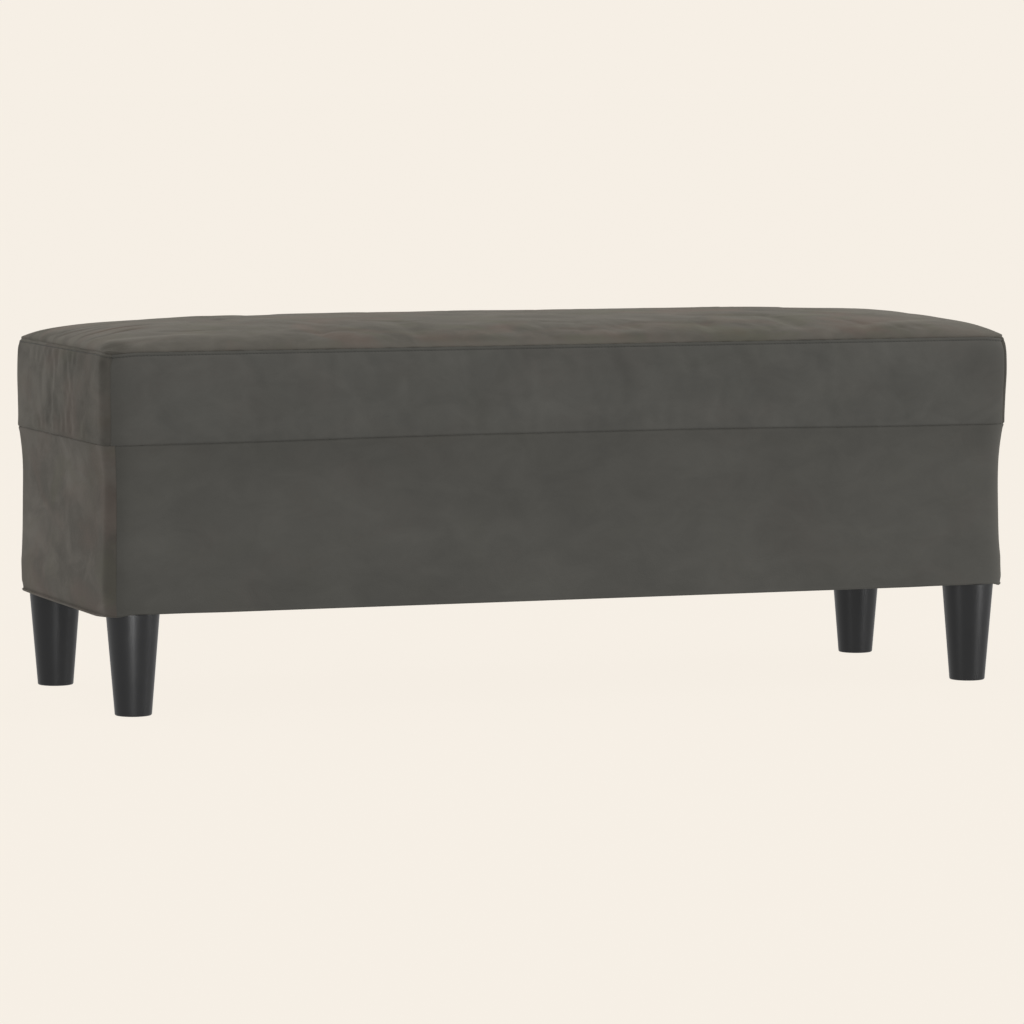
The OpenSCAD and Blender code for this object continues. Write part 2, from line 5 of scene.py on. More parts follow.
import bpy
import numpy as np
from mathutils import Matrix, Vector


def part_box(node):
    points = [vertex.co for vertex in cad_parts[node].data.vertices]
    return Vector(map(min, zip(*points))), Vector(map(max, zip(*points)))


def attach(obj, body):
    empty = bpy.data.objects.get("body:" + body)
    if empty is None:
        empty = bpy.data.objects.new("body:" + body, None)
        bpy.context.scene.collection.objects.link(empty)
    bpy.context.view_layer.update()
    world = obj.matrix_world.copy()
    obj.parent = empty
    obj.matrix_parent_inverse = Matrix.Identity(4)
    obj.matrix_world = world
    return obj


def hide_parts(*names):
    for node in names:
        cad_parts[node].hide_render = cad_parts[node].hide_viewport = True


bl_info = {
    "name": "Bed Bench Upholstery",
    "version": (1, 0, 0),
    "blender": (4, 5, 0),
    "location": "View3D > Sidebar > Bench",
    "description": "Covers, pads and finishes the packed bed bench piece by piece",
    "category": "Object",
}

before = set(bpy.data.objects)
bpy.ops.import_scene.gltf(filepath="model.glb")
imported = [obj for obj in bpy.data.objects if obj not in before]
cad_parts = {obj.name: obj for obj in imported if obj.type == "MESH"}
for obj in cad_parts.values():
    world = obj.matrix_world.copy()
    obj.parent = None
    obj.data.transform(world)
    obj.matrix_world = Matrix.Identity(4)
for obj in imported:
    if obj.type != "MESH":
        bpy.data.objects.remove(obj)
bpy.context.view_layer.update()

# Sides of the body, each a turn of the front
SIDES = {"front": 0, "right": 90, "rear": 180, "left": 270}
LONG_SIDES = ("front", "rear")

# Heights that the frame gives
RAIL_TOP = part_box("bottom_rail_front")[1].z
WAIST_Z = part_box("band_front")[0].z
TOP_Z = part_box("band_front")[1].z
CROWN_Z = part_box("top_panel")[1].z
BASE_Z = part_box("skirt_front")[0].z
DUST_LOW, DUST_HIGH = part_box("dust_cover")

# Form of the cover: the powers of the solids, but for a crown that is a little rounder at its ends and sides
BAND_POWERS = (1.1, 0.45)
SKIRT_POWERS = (0.75, 0.5)
FLARE_POWER = 4
CROWN_END = (5, 2.8)
CROWN_SIDE = (1.9, 2.6)
# Power of the roll into a seam
ROLL_POWER = 1.5
# Corners of the crown's rings: how they widen inwards, and their most as a share of the half depth that is left
RING_GROWTH, RING_LIMIT = 0.35, 0.9
# Least radius of a skirt's corner where its hem turns in
LEAST_RADIUS = 0.005
# Mesh of the top panel, the hem and the roll into the waist, and width of a merge
TOP_STEP, TOP_RING, HEM_STEPS, ROLL_STEPS, MERGE = 0.0042, 0.0034, (5, 31), 8, 0.00002
# Samples by which the length of the crown's section and of the skirt's is measured
CROWN_SAMPLES, SKIRT_SAMPLES = 4000, 200

# How far the ends of the body stand out of their drawn form, by height, from a distance off the middle on
LEAN_FROM, LEAN_OVER, LEAN_FADE = 0.43, 0.055, 0.02
LEAN = {
    -1: ((0.105, 0.0003), (0.128, 0.0008), (0.160, 0.0014), (0.200, 0.0018), (0.240, 0.0011),
         (0.273, 0.0017), (0.290, 0.0008), (0.310, 0.0), (0.350, -0.0004), (0.362, -0.0002), (0.370, -0.0002)),
    1: ((0.105, 0.0006), (0.125, -0.0004), (0.150, -0.0010), (0.185, -0.0005), (0.235, 0.0),
        (0.270, 0.0012), (0.310, 0.0006), (0.345, 0.0011), (0.362, 0.0009), (0.370, 0.0006)),
}

# Waist seam of the long sides: its rise and hang as shares of the bow, where along the side, and how far up and down
BOW_RISE, BOW_HANG, BOW_END, BOW_OVER, BOW_BAND = 1.7, 0.7, 0.42, 0.3, 0.035

# Top seam drawn down by the corners: reach along it, up and down the band, and in over the crown
FALL_REACH, FALL_BAND, FALL_FADE = 0.016, 0.02, 0.006

# Bite of the top seam: share that it loses at a corner, its share on the ends and what it loses there at the rear
BITE_CORNER, BITE_CORNER_REACH = 0.8, 0.024
BITE_END, BITE_REAR, BITE_REAR_REACH = 0.5, 0.3, 0.14

# Slow unevenness of the cloth: height, seed and length of its bumps, and their stretch along each axis
CROWN_WAVES = ((0.0005, 11, 0.16), (0.0004, 12, 0.05, (0.45, 1.2, 1.0)))
BAND_WAVES = ((0.0005, 3, 0.12), (0.0002, 4, 0.035))
SKIRT_WAVES = ((0.0006, 21, 0.17, (1, 1, 0.35)), (0.0003, 22, 0.05, (1.1, 1.1, 0.4)))
UNDERSIDE_WAVES = ((0.00025, 31, 0.11, (0.7, 1.2, 1)),)

# The seat's simulated form: mesh, frames, hold of the bands' corners, share that is used, settings of the cloth, and
# the distances over which the form is still and then free, from the crown's ends and from the bands' corners
FORM_STEP, FORM_RING, FORM_ROWS, FORM_FRAMES = 0.0085, 0.009, 12, 20
CORNER_HOLD, FORM_SHARE = 0.8, 0.6
CLOTH = {
    "vertex_group_mass": "seams", "quality": 6, "mass": 0.15, "tension_stiffness": 12, "compression_stiffness": 12,
    "shear_stiffness": 4, "bending_stiffness": 0.35, "shrink_min": -0.012, "use_pressure": True,
    "uniform_pressure_force": 4,
}
ENDS_STILL, ENDS_FREE = 0.02, 0.12
CORNERS_STILL, CORNERS_FREE = 0.03, 0.09

# Band: how its corners are drawn in, and their puckers as depth, reach, drop below the top seam and height
DRAW_DEPTH, DRAW_REACH, DRAW_TOP, DRAW_FOOT = 0.0007, 0.006, 0.01, 0.1
PUCKERS = ((0.0007, 0.018, 0.0055, 0.0022), (0.0013, 0.006, 0.0085, 0.0045))

# Skirt: where its unevenness starts above the hem and ends below the waist seam, and how its corners are drawn in
SKIRT_START, SKIRT_GROWTH, SKIRT_CALM = 0.004, 0.03, 0.02
SKIRT_DRAW, SKIRT_DRAW_REACH, SKIRT_DRAW_TOP, SKIRT_LEAN_FOOT = 0.0006, 0.005, 0.006, 0.01

# Crown: calm strip beside the seam, and the dimple beside each corner, with its place from the end and the side
CROWN_CALM = 0.008
DIMPLE_DEPTH, DIMPLE_R, DIMPLE_AT = 0.0010, 0.012, (0.009, 0.018)

# Grooves of the seams as shares of the seam groove's depth, with their half widths
WAIST_GROOVE, TOP_GROOVE = (1.3, 0.0008), (0.5, 0.0009)
CORNER_GROOVE, SKIRT_GROOVE = (1.6, 0.0012), (1.0, 0.0009)

# Fine relief: depth, distance from the seam and half height of the stitches' and the seam's dent and the waist's roll
STITCH_DENT = (0.0002, 0.0007)
SEAM_DENT = (0.0003, 0.002, 0.0018)
WAIST_ROLL = (0.00015, 0.0024, 0.001)

# Strip of the band under the top seam that is meshed finely for its stitches, and the growth of the steps below it
STITCHED_H, STITCHED_STEP, STITCHED_GROWTH = 0.0064, 0.0004, 1.6

# A stitch: bluntness of its ends, arch over the cloth in thread radii, half length in pitches, depth below the face,
# and the distance ahead that gives its direction
STITCH_BLUNT, STITCH_ARCH, STITCH_HALF, STITCH_SINK, STITCH_AHEAD = 0.7, 0.7, 0.4, 0.00045, 0.0005

# Painted shade and light beside the corner seams: reach of the dark and light strips, and of the painted shade where
# an end turns to the front
SHADE_SEAM, LIGHT_FAR, SHADE_FRONT, LIGHT_REAR = 0.022, 0.016, 0.02, 0.06
SHADE_TURN, SHADE_TURN_REACH = 0.06, 0.034

# Amounts of painted shade at a side's first seam, of painted light at its far one, of painted shade at an end's turn
# to the front, and of painted light at the rear
BAND_PAINTED_SHADING = (0.2, 0.0, 0.28, 0.3)
SKIRT_PAINTED_SHADING = (0.12, 0.4, 0.36, 0.15)

# Painted shade in the turned strip under the top seam, with its height, and in the puckers by an end's corners, with
# their middle and reach along the seam and below it
TURN_PAINTED_SHADE, TURN_PAINTED_SHADE_H = 0.28, 0.0038
PUCKER_PAINTED_SHADE = (0.4, (0.013, 0.01), (0.009, 0.008))

# Painted shade of the skirts: in the crease of the hem as amount, height under the base, half height and outer part
# of the roll, and the share of an end's painted shade at the hem, the height at which it grows and over what height
CREASE_PAINTED_SHADE = (0.6, 0.0012, 0.0008, -0.003)
UPPER_SHADING_SHARE = (0.1, 0.15, 0.07)

# Section of the hem from its inner edge to the skirt's face, flat under the frame, and as a hanging roll,
# each point a distance outside the base and a height over it in millimetres, and the roll's depth in metres
HEM_FLAT = ((-22, 0), (-8, 0), (-6, 0), (-4.5, 0), (-3.4, 0), (-2.5, 0), (-1.5, 0.2), (-0.7, 0.75),
            (-0.2, 1.5), (0, 2.5), (0, 4), (0, 7))
HEM_ROLL = ((-22, 0), (-8, 0), (-6.3, -0.1), (-5.3, -1.0), (-4.6, -2.6), (-3.3, -3.7), (-2.0, -3.9), (-0.7, -3.5),
            (0.2, -2.6), (-0.4, -1.8), (-1.3, -1.1), (0, 7))
HEM_DEPTH = 0.0039

# How far the hem hangs, as a share: at the two corners of a side, then along a long one, with how much more further
# from the corner, where and over what length, and the lengths over which it changes by a corner
HEM_CORNERS = {"front": (0.5, 0.5), "right": (0.5, 0.9), "rear": (0.9, 0.9), "left": (0.9, 0.5)}
HEM_LOW, HEM_MORE, HEM_MORE_AT, HEM_MORE_OVER = 0.1, 0.07, 0.07, 0.05
HEM_END_OVER, HEM_SIDE_OVER = 0.06, 0.016

# Share of its height at which a wrinkle starts, shares of its length over which it grows and ends, the height of the
# banks beside it, and how finely its line is followed between two points
WRINKLE_START, WRINKLE_GROWTH, WRINKLE_END, WRINKLE_BANK, WRINKLE_FINE = 0.15, 0.12, 0.45, 0.35, 12

# Stretch wrinkles of the crown in millimetres: height, half width and the line that they follow in plan
WRINKLES = (
    (-1.3, 2.9, ((-499, 82), (-495, 52), (-487, 27), (-468, 20), (-425, 14), (-380, 12))),
    (-1.3, 2.7, ((-498, 37), (-494, 15), (-486, 4), (-469, -7), (-430, -14))),
    (-1.2, 2.7, ((-498, -4), (-494, -22), (-482, -28), (-469, -29), (-440, -32))),
    (-1.4, 2.9, ((-497, -50), (-480, -56), (-451, -48), (-421, -47), (-395, -50))),
    (-1.2, 2.9, ((-496, -86), (-479, -90), (-458, -77), (-431, -72), (-390, -82))),
    (-1.1, 3.4, ((-499, 128), (-492, 108), (-470, 92), (-430, 84))),
    (-0.6, 4.5, ((-430, -108), (-407, -121), (-379, -123), (-352, -128))),
    (0.7, 2.4, ((-499, 54), (-499, 35), (-498, 14), (-494, -2), (-482, -10))),
    (0.7, 2.4, ((-499, -25), (-498, -43), (-492, -50), (-482, -51))),
    (0.6, 2.4, ((-499, -70), (-498, -87), (-490, -95), (-478, -99))),
    (1.0, 6.0, ((-492, -127), (-483, -134), (-469, -141), (-450, -144), (-415, -148), (-384, -153), (-354, -156),
                (-320, -151))),
    (0.9, 5.5, ((-300, -76), (-287, -82), (-262, -102), (-239, -124), (-215, -145))),
    (-0.7, 5.0, ((-205, -86), (-191, -90), (-152, -99), (-120, -100))),
    (-0.6, 5.0, ((-295, -138), (-280, -141), (-229, -141), (-205, -140))),
    (-0.6, 5.0, ((-15, -112), (10, -119), (33, -122), (60, -121))),
    (-0.6, 4.0, ((-10, -146), (16, -149), (35, -150), (62, -148))),
    (-0.6, 8.0, ((80, -126), (106, -131), (151, -134), (190, -130))),
    (-0.6, 7.0, ((150, -80), (183, -86), (248, -89), (300, -84))),
    (0.8, 6.0, ((320, -168), (344, -160), (362, -156), (393, -145), (421, -133), (447, -131), (475, -128))),
    (-0.5, 4.0, ((331, -168), (359, -163), (410, -158), (440, -157))),
    (-0.7, 5.0, ((498, -60), (480, -48), (440, -44), (400, -46))),
    (-0.7, 5.0, ((498, 10), (484, 4), (450, 0), (405, 2))),
    (-0.7, 5.0, ((498, 82), (484, 70), (440, 62), (396, 66))),
    (0.7, 8.0, ((-330, 96), (-260, 108), (-180, 104), (-100, 112))),
    (-0.6, 7.0, ((-60, 70), (20, 84), (110, 80), (190, 92))),
    (0.7, 8.0, ((180, 126), (260, 118), (340, 124), (420, 112))),
)


def size_setting(name, description, default):
    """A length in metres that a user may change."""
    return bpy.props.FloatProperty(name=name, description=description, default=default, unit="LENGTH")


def colour_setting(name, description, default):
    """A colour that a user may change."""
    return bpy.props.FloatVectorProperty(name=name, description=description, default=default, subtype="COLOR")


class CoverSettings(bpy.types.PropertyGroup):
    """Sizes of the velvet cover"""

    fabric_t: size_setting("Fabric", "Thickness of the velvet", 0.0016)
    cover_fit: size_setting("Fit", "Gap under the velvet", 0.0003)
    corner_r: size_setting("Corner", "Plan radius of the corners", 0.02)
    band_bulge: size_setting("Band bulge", "How far the band swells out", 0.0034)
    skirt_tuck: size_setting("Skirt tuck", "How far the skirt is drawn in", 0.0032)
    waist_flare: size_setting("Waist flare", "How far the waist seam stands out", 0.0017)
    seam_dip: size_setting("Seam dip", "Depth of the roll into a seam", 0.0008)
    seam_roll: size_setting("Seam roll", "Height of the roll into a seam", 0.0016)
    seam_cut: size_setting("Seam groove", "Depth of the narrow groove at a seam", 0.0005)
    corner_fall: size_setting("Corner fall", "How far the top seam is drawn down at a corner", 0.0018)
    hem_sag: size_setting("Hem sag", "How far the rolled hem hangs at the ends", 0.0053)
    waist_bow: size_setting("Waist bow", "Rise of the waist seam along the long sides", 0.0014)
    seam_shift: size_setting("Skirt seam", "How far a skirt's corner seam lies past the corner", 0.004)
    stitch_drop: size_setting("Topstitch", "Distance from the top seam to its stitches", 0.0030)
    stitch_pitch: size_setting("Stitch", "Length of a stitch with its gap", 0.0036)
    thread_r: size_setting("Thread", "Radius of the sewing thread", 0.0003)
    grain: size_setting("Mesh step", "Size of the fabric's faces", 0.0034)
    dark: colour_setting("Dark nap", "Velvet stroked against the light", (0.082, 0.080, 0.0725))
    light: colour_setting("Light nap", "Velvet stroked with the light", (0.127, 0.123, 0.111))
    warm: colour_setting("Warm nap", "Rosy patches of the velvet", (0.124, 0.098, 0.086))
    moss: colour_setting("Cool nap", "Mossy patches of the velvet", (0.098, 0.100, 0.078))
    # Painted shade: the deep nap colour is painted into the velvet in its folds, creases and dimples and by its
    # corners and seams, where shade falls
    deep: colour_setting("Deep nap", "Velvet in its folds and by its corners", (0.052, 0.050, 0.043))
    # Painted highlight: the raised nap colour is painted onto the velvet where light catches it, beside the top seam,
    # on the banks of the wrinkles, on the crown's ends and by some corner seams
    bright: colour_setting("Raised nap", "Velvet rolled over its padding beside a seam", (0.172, 0.166, 0.150))


class PaddingSettings(bpy.types.PropertyGroup):
    """Sizes and colours of the padding"""

    wadding_t: size_setting("Wadding", "Thickness of the wadding", 0.005)
    foam: colour_setting("Foam", "Colour of the foam", (0.80, 0.74, 0.55))
    wadding: colour_setting("Wadding", "Colour of the wadding", (0.86, 0.86, 0.84))
    slack: size_setting("Slack", "Gap between two layers", 0.0007)
    swell_cap: size_setting("Swell", "Furthest that the simulated cover may move", 0.005)


class FinishSettings(bpy.types.PropertyGroup):
    """Colours of the legs, the frame and the fasteners"""

    plastic: colour_setting("Plastic", "Colour of the legs", (0.0045, 0.0045, 0.0048))
    pine: colour_setting("Pine", "Colour of the rails and posts", (0.60, 0.42, 0.22))
    plywood: colour_setting("Plywood", "Colour of the deck", (0.52, 0.36, 0.19))
    zinc: colour_setting("Zinc", "Colour of the fasteners", (0.55, 0.56, 0.58))
    black_cloth: colour_setting("Underside cloth", "Colour of the underside cloth", (0.018, 0.018, 0.020))


class StageSettings(bpy.types.PropertyGroup):
    """Floor, light and camera"""

    backdrop: colour_setting("Backdrop", "Colour of the pale studio", (0.922, 0.863, 0.784))
    floor_bounce: bpy.props.FloatProperty(
        name="Floor bounce", description="Share of light that the floor throws back", default=0.015
    )
    surroundings: bpy.props.FloatProperty(
        name="Surroundings", description="Strength of the even light from all round", default=0.62
    )
    focal: bpy.props.FloatProperty(
        name="Focal length", description="Focal length of the camera in millimetres", default=186.85
    )
    eye: bpy.props.FloatVectorProperty(
        name="Eye", description="Place of the camera", unit="LENGTH", default=(-1.97778, -5.31199, 0.64562)
    )
    yaw: bpy.props.FloatProperty(
        name="Yaw", description="Turn of the camera to the right", unit="ROTATION", default=math.radians(20.40787)
    )
    pitch: bpy.props.FloatProperty(
        name="Pitch", description="Tip of the camera downwards", unit="ROTATION", default=math.radians(4.67153)
    )


# ---------------------------------------------------------------- form of the cover


def swell(t, powers):
    """0 at both ends of 0 to 1, and 1 at its fullest."""
    a, b = powers
    peak = a / (a + b)
    return t**a * (1 - t) ** b / (peak**a * (1 - peak) ** b)


def smooth(t):
    """Soft step from 0 to 1."""
    t = np.clip(t, 0, 1)
    return t * t * (3 - 2 * t)


def ramp(distance, width):
    """Straight rise from 0 to 1 over a width."""
    return np.clip(distance / width, 0, 1)


def bell(distance, width):
    """1 at no distance, fading over a width."""
    return np.exp(-((distance / width) ** 2))


def cubic(values, at, wrap=False):
    """Smooth values of the first axis of an array at fractional positions."""
    n = len(values)
    at = np.asarray(at, float)
    base = np.floor(at).astype(int)
    f = (at - base).reshape(-1, *[1] * (values.ndim - 1))

    def pick(k):
        return values[(base + k) % n] if wrap else values[np.clip(base + k, 0, n - 1)]

    a, b, c, d = pick(-1), pick(0), pick(1), pick(2)
    return b + 0.5 * f * (c - a + f * (2 * a - 5 * b + 4 * c - d + f * (3 * (b - c) + d - a)))


def walked(path):
    """Distance along a polyline to each of its points."""
    return np.concatenate([[0], np.cumsum(np.linalg.norm(np.diff(path, axis=0), axis=1))])


def along(path, spots, values=None):
    """Points of a polyline, or values that it carries, at distances along it."""
    values = path if values is None else values
    return np.stack([np.interp(spots, walked(path), column) for column in values.T], -1)


def steps_near(ends, length, step, near=0.00035, growth=1.45):
    """Positions over a length, fine at the ends that are named and growing to an even step."""
    fine = [0.0]
    gap = near
    while gap < step and fine[-1] < length / 3:
        fine.append(fine[-1] + gap)
        gap *= growth
    low = fine if ends[0] else [0.0]
    high = [length - f for f in reversed(fine)] if ends[1] else [length]
    count = max(1, round((high[0] - low[-1]) / step))
    middle = np.linspace(low[-1], high[0], count + 1)[1:-1]
    return np.concatenate([low, middle, high])


def waves(place, seed, length, stretch=(1, 1, 1), count=24):
    """Smooth random field over places, about -1 to 1, with bumps of about a length."""
    rng = np.random.default_rng(seed)
    total = np.zeros(place.shape[:-1])
    for _ in range(count):
        way = rng.normal(size=3)
        way *= rng.uniform(0.6, 1.5) * 2 * math.pi / length / np.linalg.norm(way)
        total += np.cos(place @ (way * np.array(stretch)) + rng.uniform(0, 2 * math.pi))
    return total * math.sqrt(2 / count) / 2


def unevenness(place, layers):
    """Sum of layers of smooth random bumps."""
    return sum(height * waves(place, *layer) for height, *layer in layers)


def skirt_out(z, cover):
    """Distance of the skirt's face outside the base outline."""
    t = np.clip((z - RAIL_TOP) / (WAIST_Z - RAIL_TOP), 0, 1)
    return cover.waist_flare * t**FLARE_POWER - cover.skirt_tuck * swell(t, SKIRT_POWERS)


def band_out(z, cover):
    """Distance of the band's face outside the base outline."""
    t = np.clip((z - WAIST_Z) / (TOP_Z - WAIST_Z), 0, 1)
    return cover.waist_flare * (1 - t) + cover.band_bulge * swell(t, BAND_POWERS)


def lean(place):
    """How far a place of the side stands out of its drawn form towards the two ends."""
    total = np.zeros(place.shape[:-1])
    for end, table in LEAN.items():
        heights, moves = np.array(table).T
        at = np.interp(place[..., 2], heights, np.arange(len(heights)))
        move = cubic(moves, at.ravel()).reshape(at.shape)
        total += move * smooth((end * place[..., 0] - LEAN_FROM) / LEAN_OVER)
    return total


def body_half():
    """Half the length and half the depth of the body at its base."""
    cover = bpy.context.scene.bench_cover
    low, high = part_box("bottom_rail_front")
    skin = cover.fabric_t + cover.cover_fit
    return high.x + skin, skin - low.y


def side_half(side):
    """Half the length and half the depth of the body as one side sees them."""
    half_l, half_d = body_half()
    return (half_l, half_d) if side in LONG_SIDES else (half_d, half_l)


def side_run(side):
    """Length of one side's share of the outline: half a corner, the straight, half a corner."""
    r = bpy.context.scene.bench_cover.corner_r
    return 2 * (side_half(side)[0] - r) + r * math.pi / 2


def corner_gap(side, runs):
    """Distance along the outline to the nearer corner seam."""
    return np.minimum(runs, side_run(side) - runs)[None]


def corner_fall(side, runs):
    """How far the top seam is drawn down by its corners."""
    return bpy.context.scene.bench_cover.corner_fall * bell(corner_gap(side, runs), FALL_REACH)


def seam_bite(side, runs):
    """How strongly the top seam cuts in: less by the corners, and along the ends towards the rear."""
    bite = 1 - BITE_CORNER * bell(corner_gap(side, runs), BITE_CORNER_REACH)
    if side in LONG_SIDES:
        return bite
    rear = (side_run(side) - runs if side == "right" else runs)[None]
    return bite * (BITE_END - BITE_REAR * bell(rear, BITE_REAR_REACH))


def around(measure, columns):
    """A measure of the outline at the columns of all sides, in one row."""
    return np.concatenate([measure(side, runs) for side, runs in columns.items()], axis=1)


def plan(run, edge, radius, side):
    """Place and outward direction at a distance along one side's share of the outline, edge outside it."""
    r = bpy.context.scene.bench_cover.corner_r
    half_l, half_d = side_half(side)
    arc = r * math.pi / 4
    straight = 2 * (half_l - r)
    run, edge, radius = np.broadcast_arrays(run, edge, radius)
    cx = half_l + edge - radius
    cy = half_d + edge - radius
    turn = np.clip(run / arc, -1, 1) - 1 + np.clip((run - arc - straight) / arc, 0, 2)
    angle = np.radians(270 + 45 * turn)
    share = np.clip((run - arc) / straight, 0, 1)
    x = (2 * share - 1) * cx + radius * np.cos(angle)
    y = -cy + radius * np.sin(angle)
    c, s = math.cos(math.radians(SIDES[side])), math.sin(math.radians(SIDES[side]))
    place = np.stack([x * c - y * s, x * s + y * c], -1)
    nx, ny = np.cos(angle), np.sin(angle)
    return place, np.stack([nx * c - ny * s, nx * s + ny * c], -1)


def sweep(section, radius, side, runs):
    """Places and normals of a section of edge and height, carried along a side."""
    if section.ndim == 2:
        section = section[:, None]
    section = np.broadcast_to(section, (len(section), len(runs), 2))
    way = np.gradient(section, axis=0)
    face = np.stack([way[..., 1], -way[..., 0]], -1)
    face /= np.linalg.norm(face, axis=-1, keepdims=True)
    place, out = plan(runs[None], section[..., 0], radius, side)
    # the waist seam bows up a little along the middle of the long sides, and hangs a little at the ends
    rise = BOW_RISE * smooth((BOW_END - np.abs(place[..., :1])) / BOW_OVER) - BOW_HANG
    level = section[..., 1:]
    height = level + bpy.context.scene.bench_cover.waist_bow * rise * bell(level - WAIST_Z, BOW_BAND)
    height = height - corner_fall(side, runs)[..., None] * bell(level - TOP_Z, FALL_BAND)
    return (np.concatenate([place, height], -1),
            np.concatenate([out * face[..., :1], face[..., 1:]], -1))


# ---------------------------------------------------------------- meshes


def deselect():
    """Nothing selected, nothing active."""
    for o in list(bpy.context.selected_objects):
        o.select_set(False)
    bpy.context.view_layer.objects.active = None


def normals_of(grid):
    """Unit normals of a grid of points, rows by columns, that closes round the body."""
    wide = np.concatenate([grid[:, -1:], grid, grid[:, :1]], axis=1)
    n = np.cross(wide[:, 2:] - wide[:, :-2], np.gradient(grid, axis=0))
    return n / np.maximum(np.linalg.norm(n, axis=-1, keepdims=True), 1e-12)


def quads(rows, cols, start, wrap):
    """Faces of a grid of points, rows by columns."""
    r, c = np.meshgrid(np.arange(rows - 1), np.arange(cols if wrap else cols - 1), indexing="ij")
    a = start + r * cols + c
    b = start + r * cols + (c + 1) % cols
    return np.stack([a, b, b + cols, a + cols], -1).reshape(-1, 4)


def rim(one, other):
    """Faces between two rows of points."""
    return np.stack([one[:-1], other[:-1], other[1:], one[1:]], -1)


def velvet_faces(grid, normal, slow, fine, sewn):
    """Outer and inner face of the velvet. The fine relief is on the outer one, and rows that are sewn keep their
    height."""
    fabric_t = bpy.context.scene.bench_cover.fabric_t
    outer = grid + normal * (slow + fine)[..., None]
    inner = grid + normal * (slow - fabric_t)[..., None]
    inner[sewn, :, 2] = outer[sewn, :, 2] = grid[sewn, :, 2]
    return outer, inner


def make_piece(name, points, faces, material, node, merge=False, sharp=None, shade=None):
    """A finished mesh piece that rides on the body, and stands for a CAD node where one is named."""
    mesh = bpy.data.meshes.new(name)
    mesh.from_pydata(points.tolist(), [], faces if isinstance(faces, list) else faces.tolist())
    if shade is not None:
        mesh.attributes.new("shade", "FLOAT", "POINT").data.foreach_set("value", np.tile(shade.ravel(), 2))
    piece = bpy.data.objects.new(name, mesh)
    bpy.context.scene.collection.objects.link(piece)
    deselect()
    piece.select_set(True)
    bpy.context.view_layer.objects.active = piece
    bpy.ops.object.mode_set(mode="EDIT")
    bpy.ops.mesh.select_all(action="SELECT")
    if merge:
        bpy.ops.mesh.remove_doubles(threshold=MERGE)
    bpy.ops.mesh.normals_make_consistent(inside=False)
    bpy.ops.object.mode_set(mode="OBJECT")
    if sharp is None:
        bpy.ops.object.shade_smooth()
    else:
        bpy.ops.object.shade_smooth_by_angle(angle=sharp)
    deselect()
    piece.data.materials.append(material)
    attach(piece, "root")
    if node:
        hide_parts(node)
    return piece


def skin(name, outer, inner, material, slot, node, shade=None, whole=False):
    """Closed skin between an outer and an inner grid of points, with its painted shade and light at each. A whole one
    runs round the body and meets itself on the ridge."""
    rows, cols = outer.shape[:2]
    n = rows * cols
    index = np.arange(n).reshape(rows, cols)
    if whole:
        border = np.append(index[0], 0)
    else:
        border = np.concatenate([index[0], index[1:, -1], index[-1, -2::-1], index[-2::-1, 0]])
    faces = np.concatenate([quads(rows, cols, 0, whole), quads(rows, cols, n, whole), rim(border, border + n)])
    points = np.concatenate([outer.reshape(-1, 3), inner.reshape(-1, 3)])
    return make_piece(name, points, faces, material, node, merge=whole, shade=shade)


# ---------------------------------------------------------------- finishes


def toned(colour, share):
    """A colour made lighter or darker."""
    return [share * v for v in colour]


class Finish:
    """A procedural material that is built node by node, on the piece's own coordinates."""

    def __init__(self, name, **surface):
        self.material = bpy.data.materials.new(name)
        self.material.use_nodes = True
        self.tree = self.material.node_tree
        self.surface = self.tree.nodes["Principled BSDF"]
        for socket, value in surface.items():
            self.surface.inputs[socket.replace("_", " ")].default_value = value
        self.place = self.add("ShaderNodeTexCoord").outputs["Object"]

    def add(self, kind, links=(), **settings):
        """A node with its settings, and links or values for its inputs by name or number."""
        made = self.tree.nodes.new(kind)
        for key, value in settings.items():
            setattr(made, key, value)
        for key, value in dict(links).items():
            if isinstance(value, bpy.types.NodeSocket):
                self.tree.links.new(value, made.inputs[key])
            else:
                made.inputs[key].default_value = value
        return made

    def mapped(self, scale=(1, 1, 1), turn=(0, 0, 0)):
        """The piece's coordinates, turned and stretched."""
        return self.add("ShaderNodeMapping", {"Vector": self.place, "Scale": scale, "Rotation": turn}).outputs[0]

    def noise(self, scale, detail=2.0, place=None, distortion=0.0, rough=0.5):
        """A noise pattern, 0 to 1."""
        return self.add("ShaderNodeTexNoise", {
            "Vector": place or self.place, "Scale": scale, "Detail": detail,
            "Distortion": distortion, "Roughness": rough,
        }).outputs["Fac"]

    def spread(self, value, low, high, to_low=0.0, to_high=1.0):
        """A value stretched from one range to another."""
        return self.add("ShaderNodeMapRange", {
            "Value": value, "From Min": low, "From Max": high, "To Min": to_low, "To Max": to_high,
        }).outputs[0]

    def blend(self, share, one, other):
        """A colour between two, by a share."""
        one, other = (v if isinstance(v, bpy.types.NodeSocket) else (*v, 1.0) for v in (one, other))
        return self.add("ShaderNodeMix", {0: share, 6: one, 7: other}, data_type="RGBA").outputs[2]

    def math(self, operation, one, other):
        """A sum or other operation on two values."""
        return self.add("ShaderNodeMath", {0: one, 1: other}, operation=operation).outputs[0]

    def bump(self, height, depth, under=None):
        """Fine relief, over another one."""
        links = {"Height": height, "Distance": depth, "Strength": 1.0}
        if under:
            links["Normal"] = under
        return self.add("ShaderNodeBump", links).outputs[0]

    def finish(self, colour, roughness=None, relief=None):
        """Links the patterns to the surface."""
        self.tree.links.new(colour, self.surface.inputs["Base Color"])
        if roughness:
            self.tree.links.new(roughness, self.surface.inputs["Roughness"])
        if relief:
            self.tree.links.new(relief, self.surface.inputs["Normal"])
        return self.material


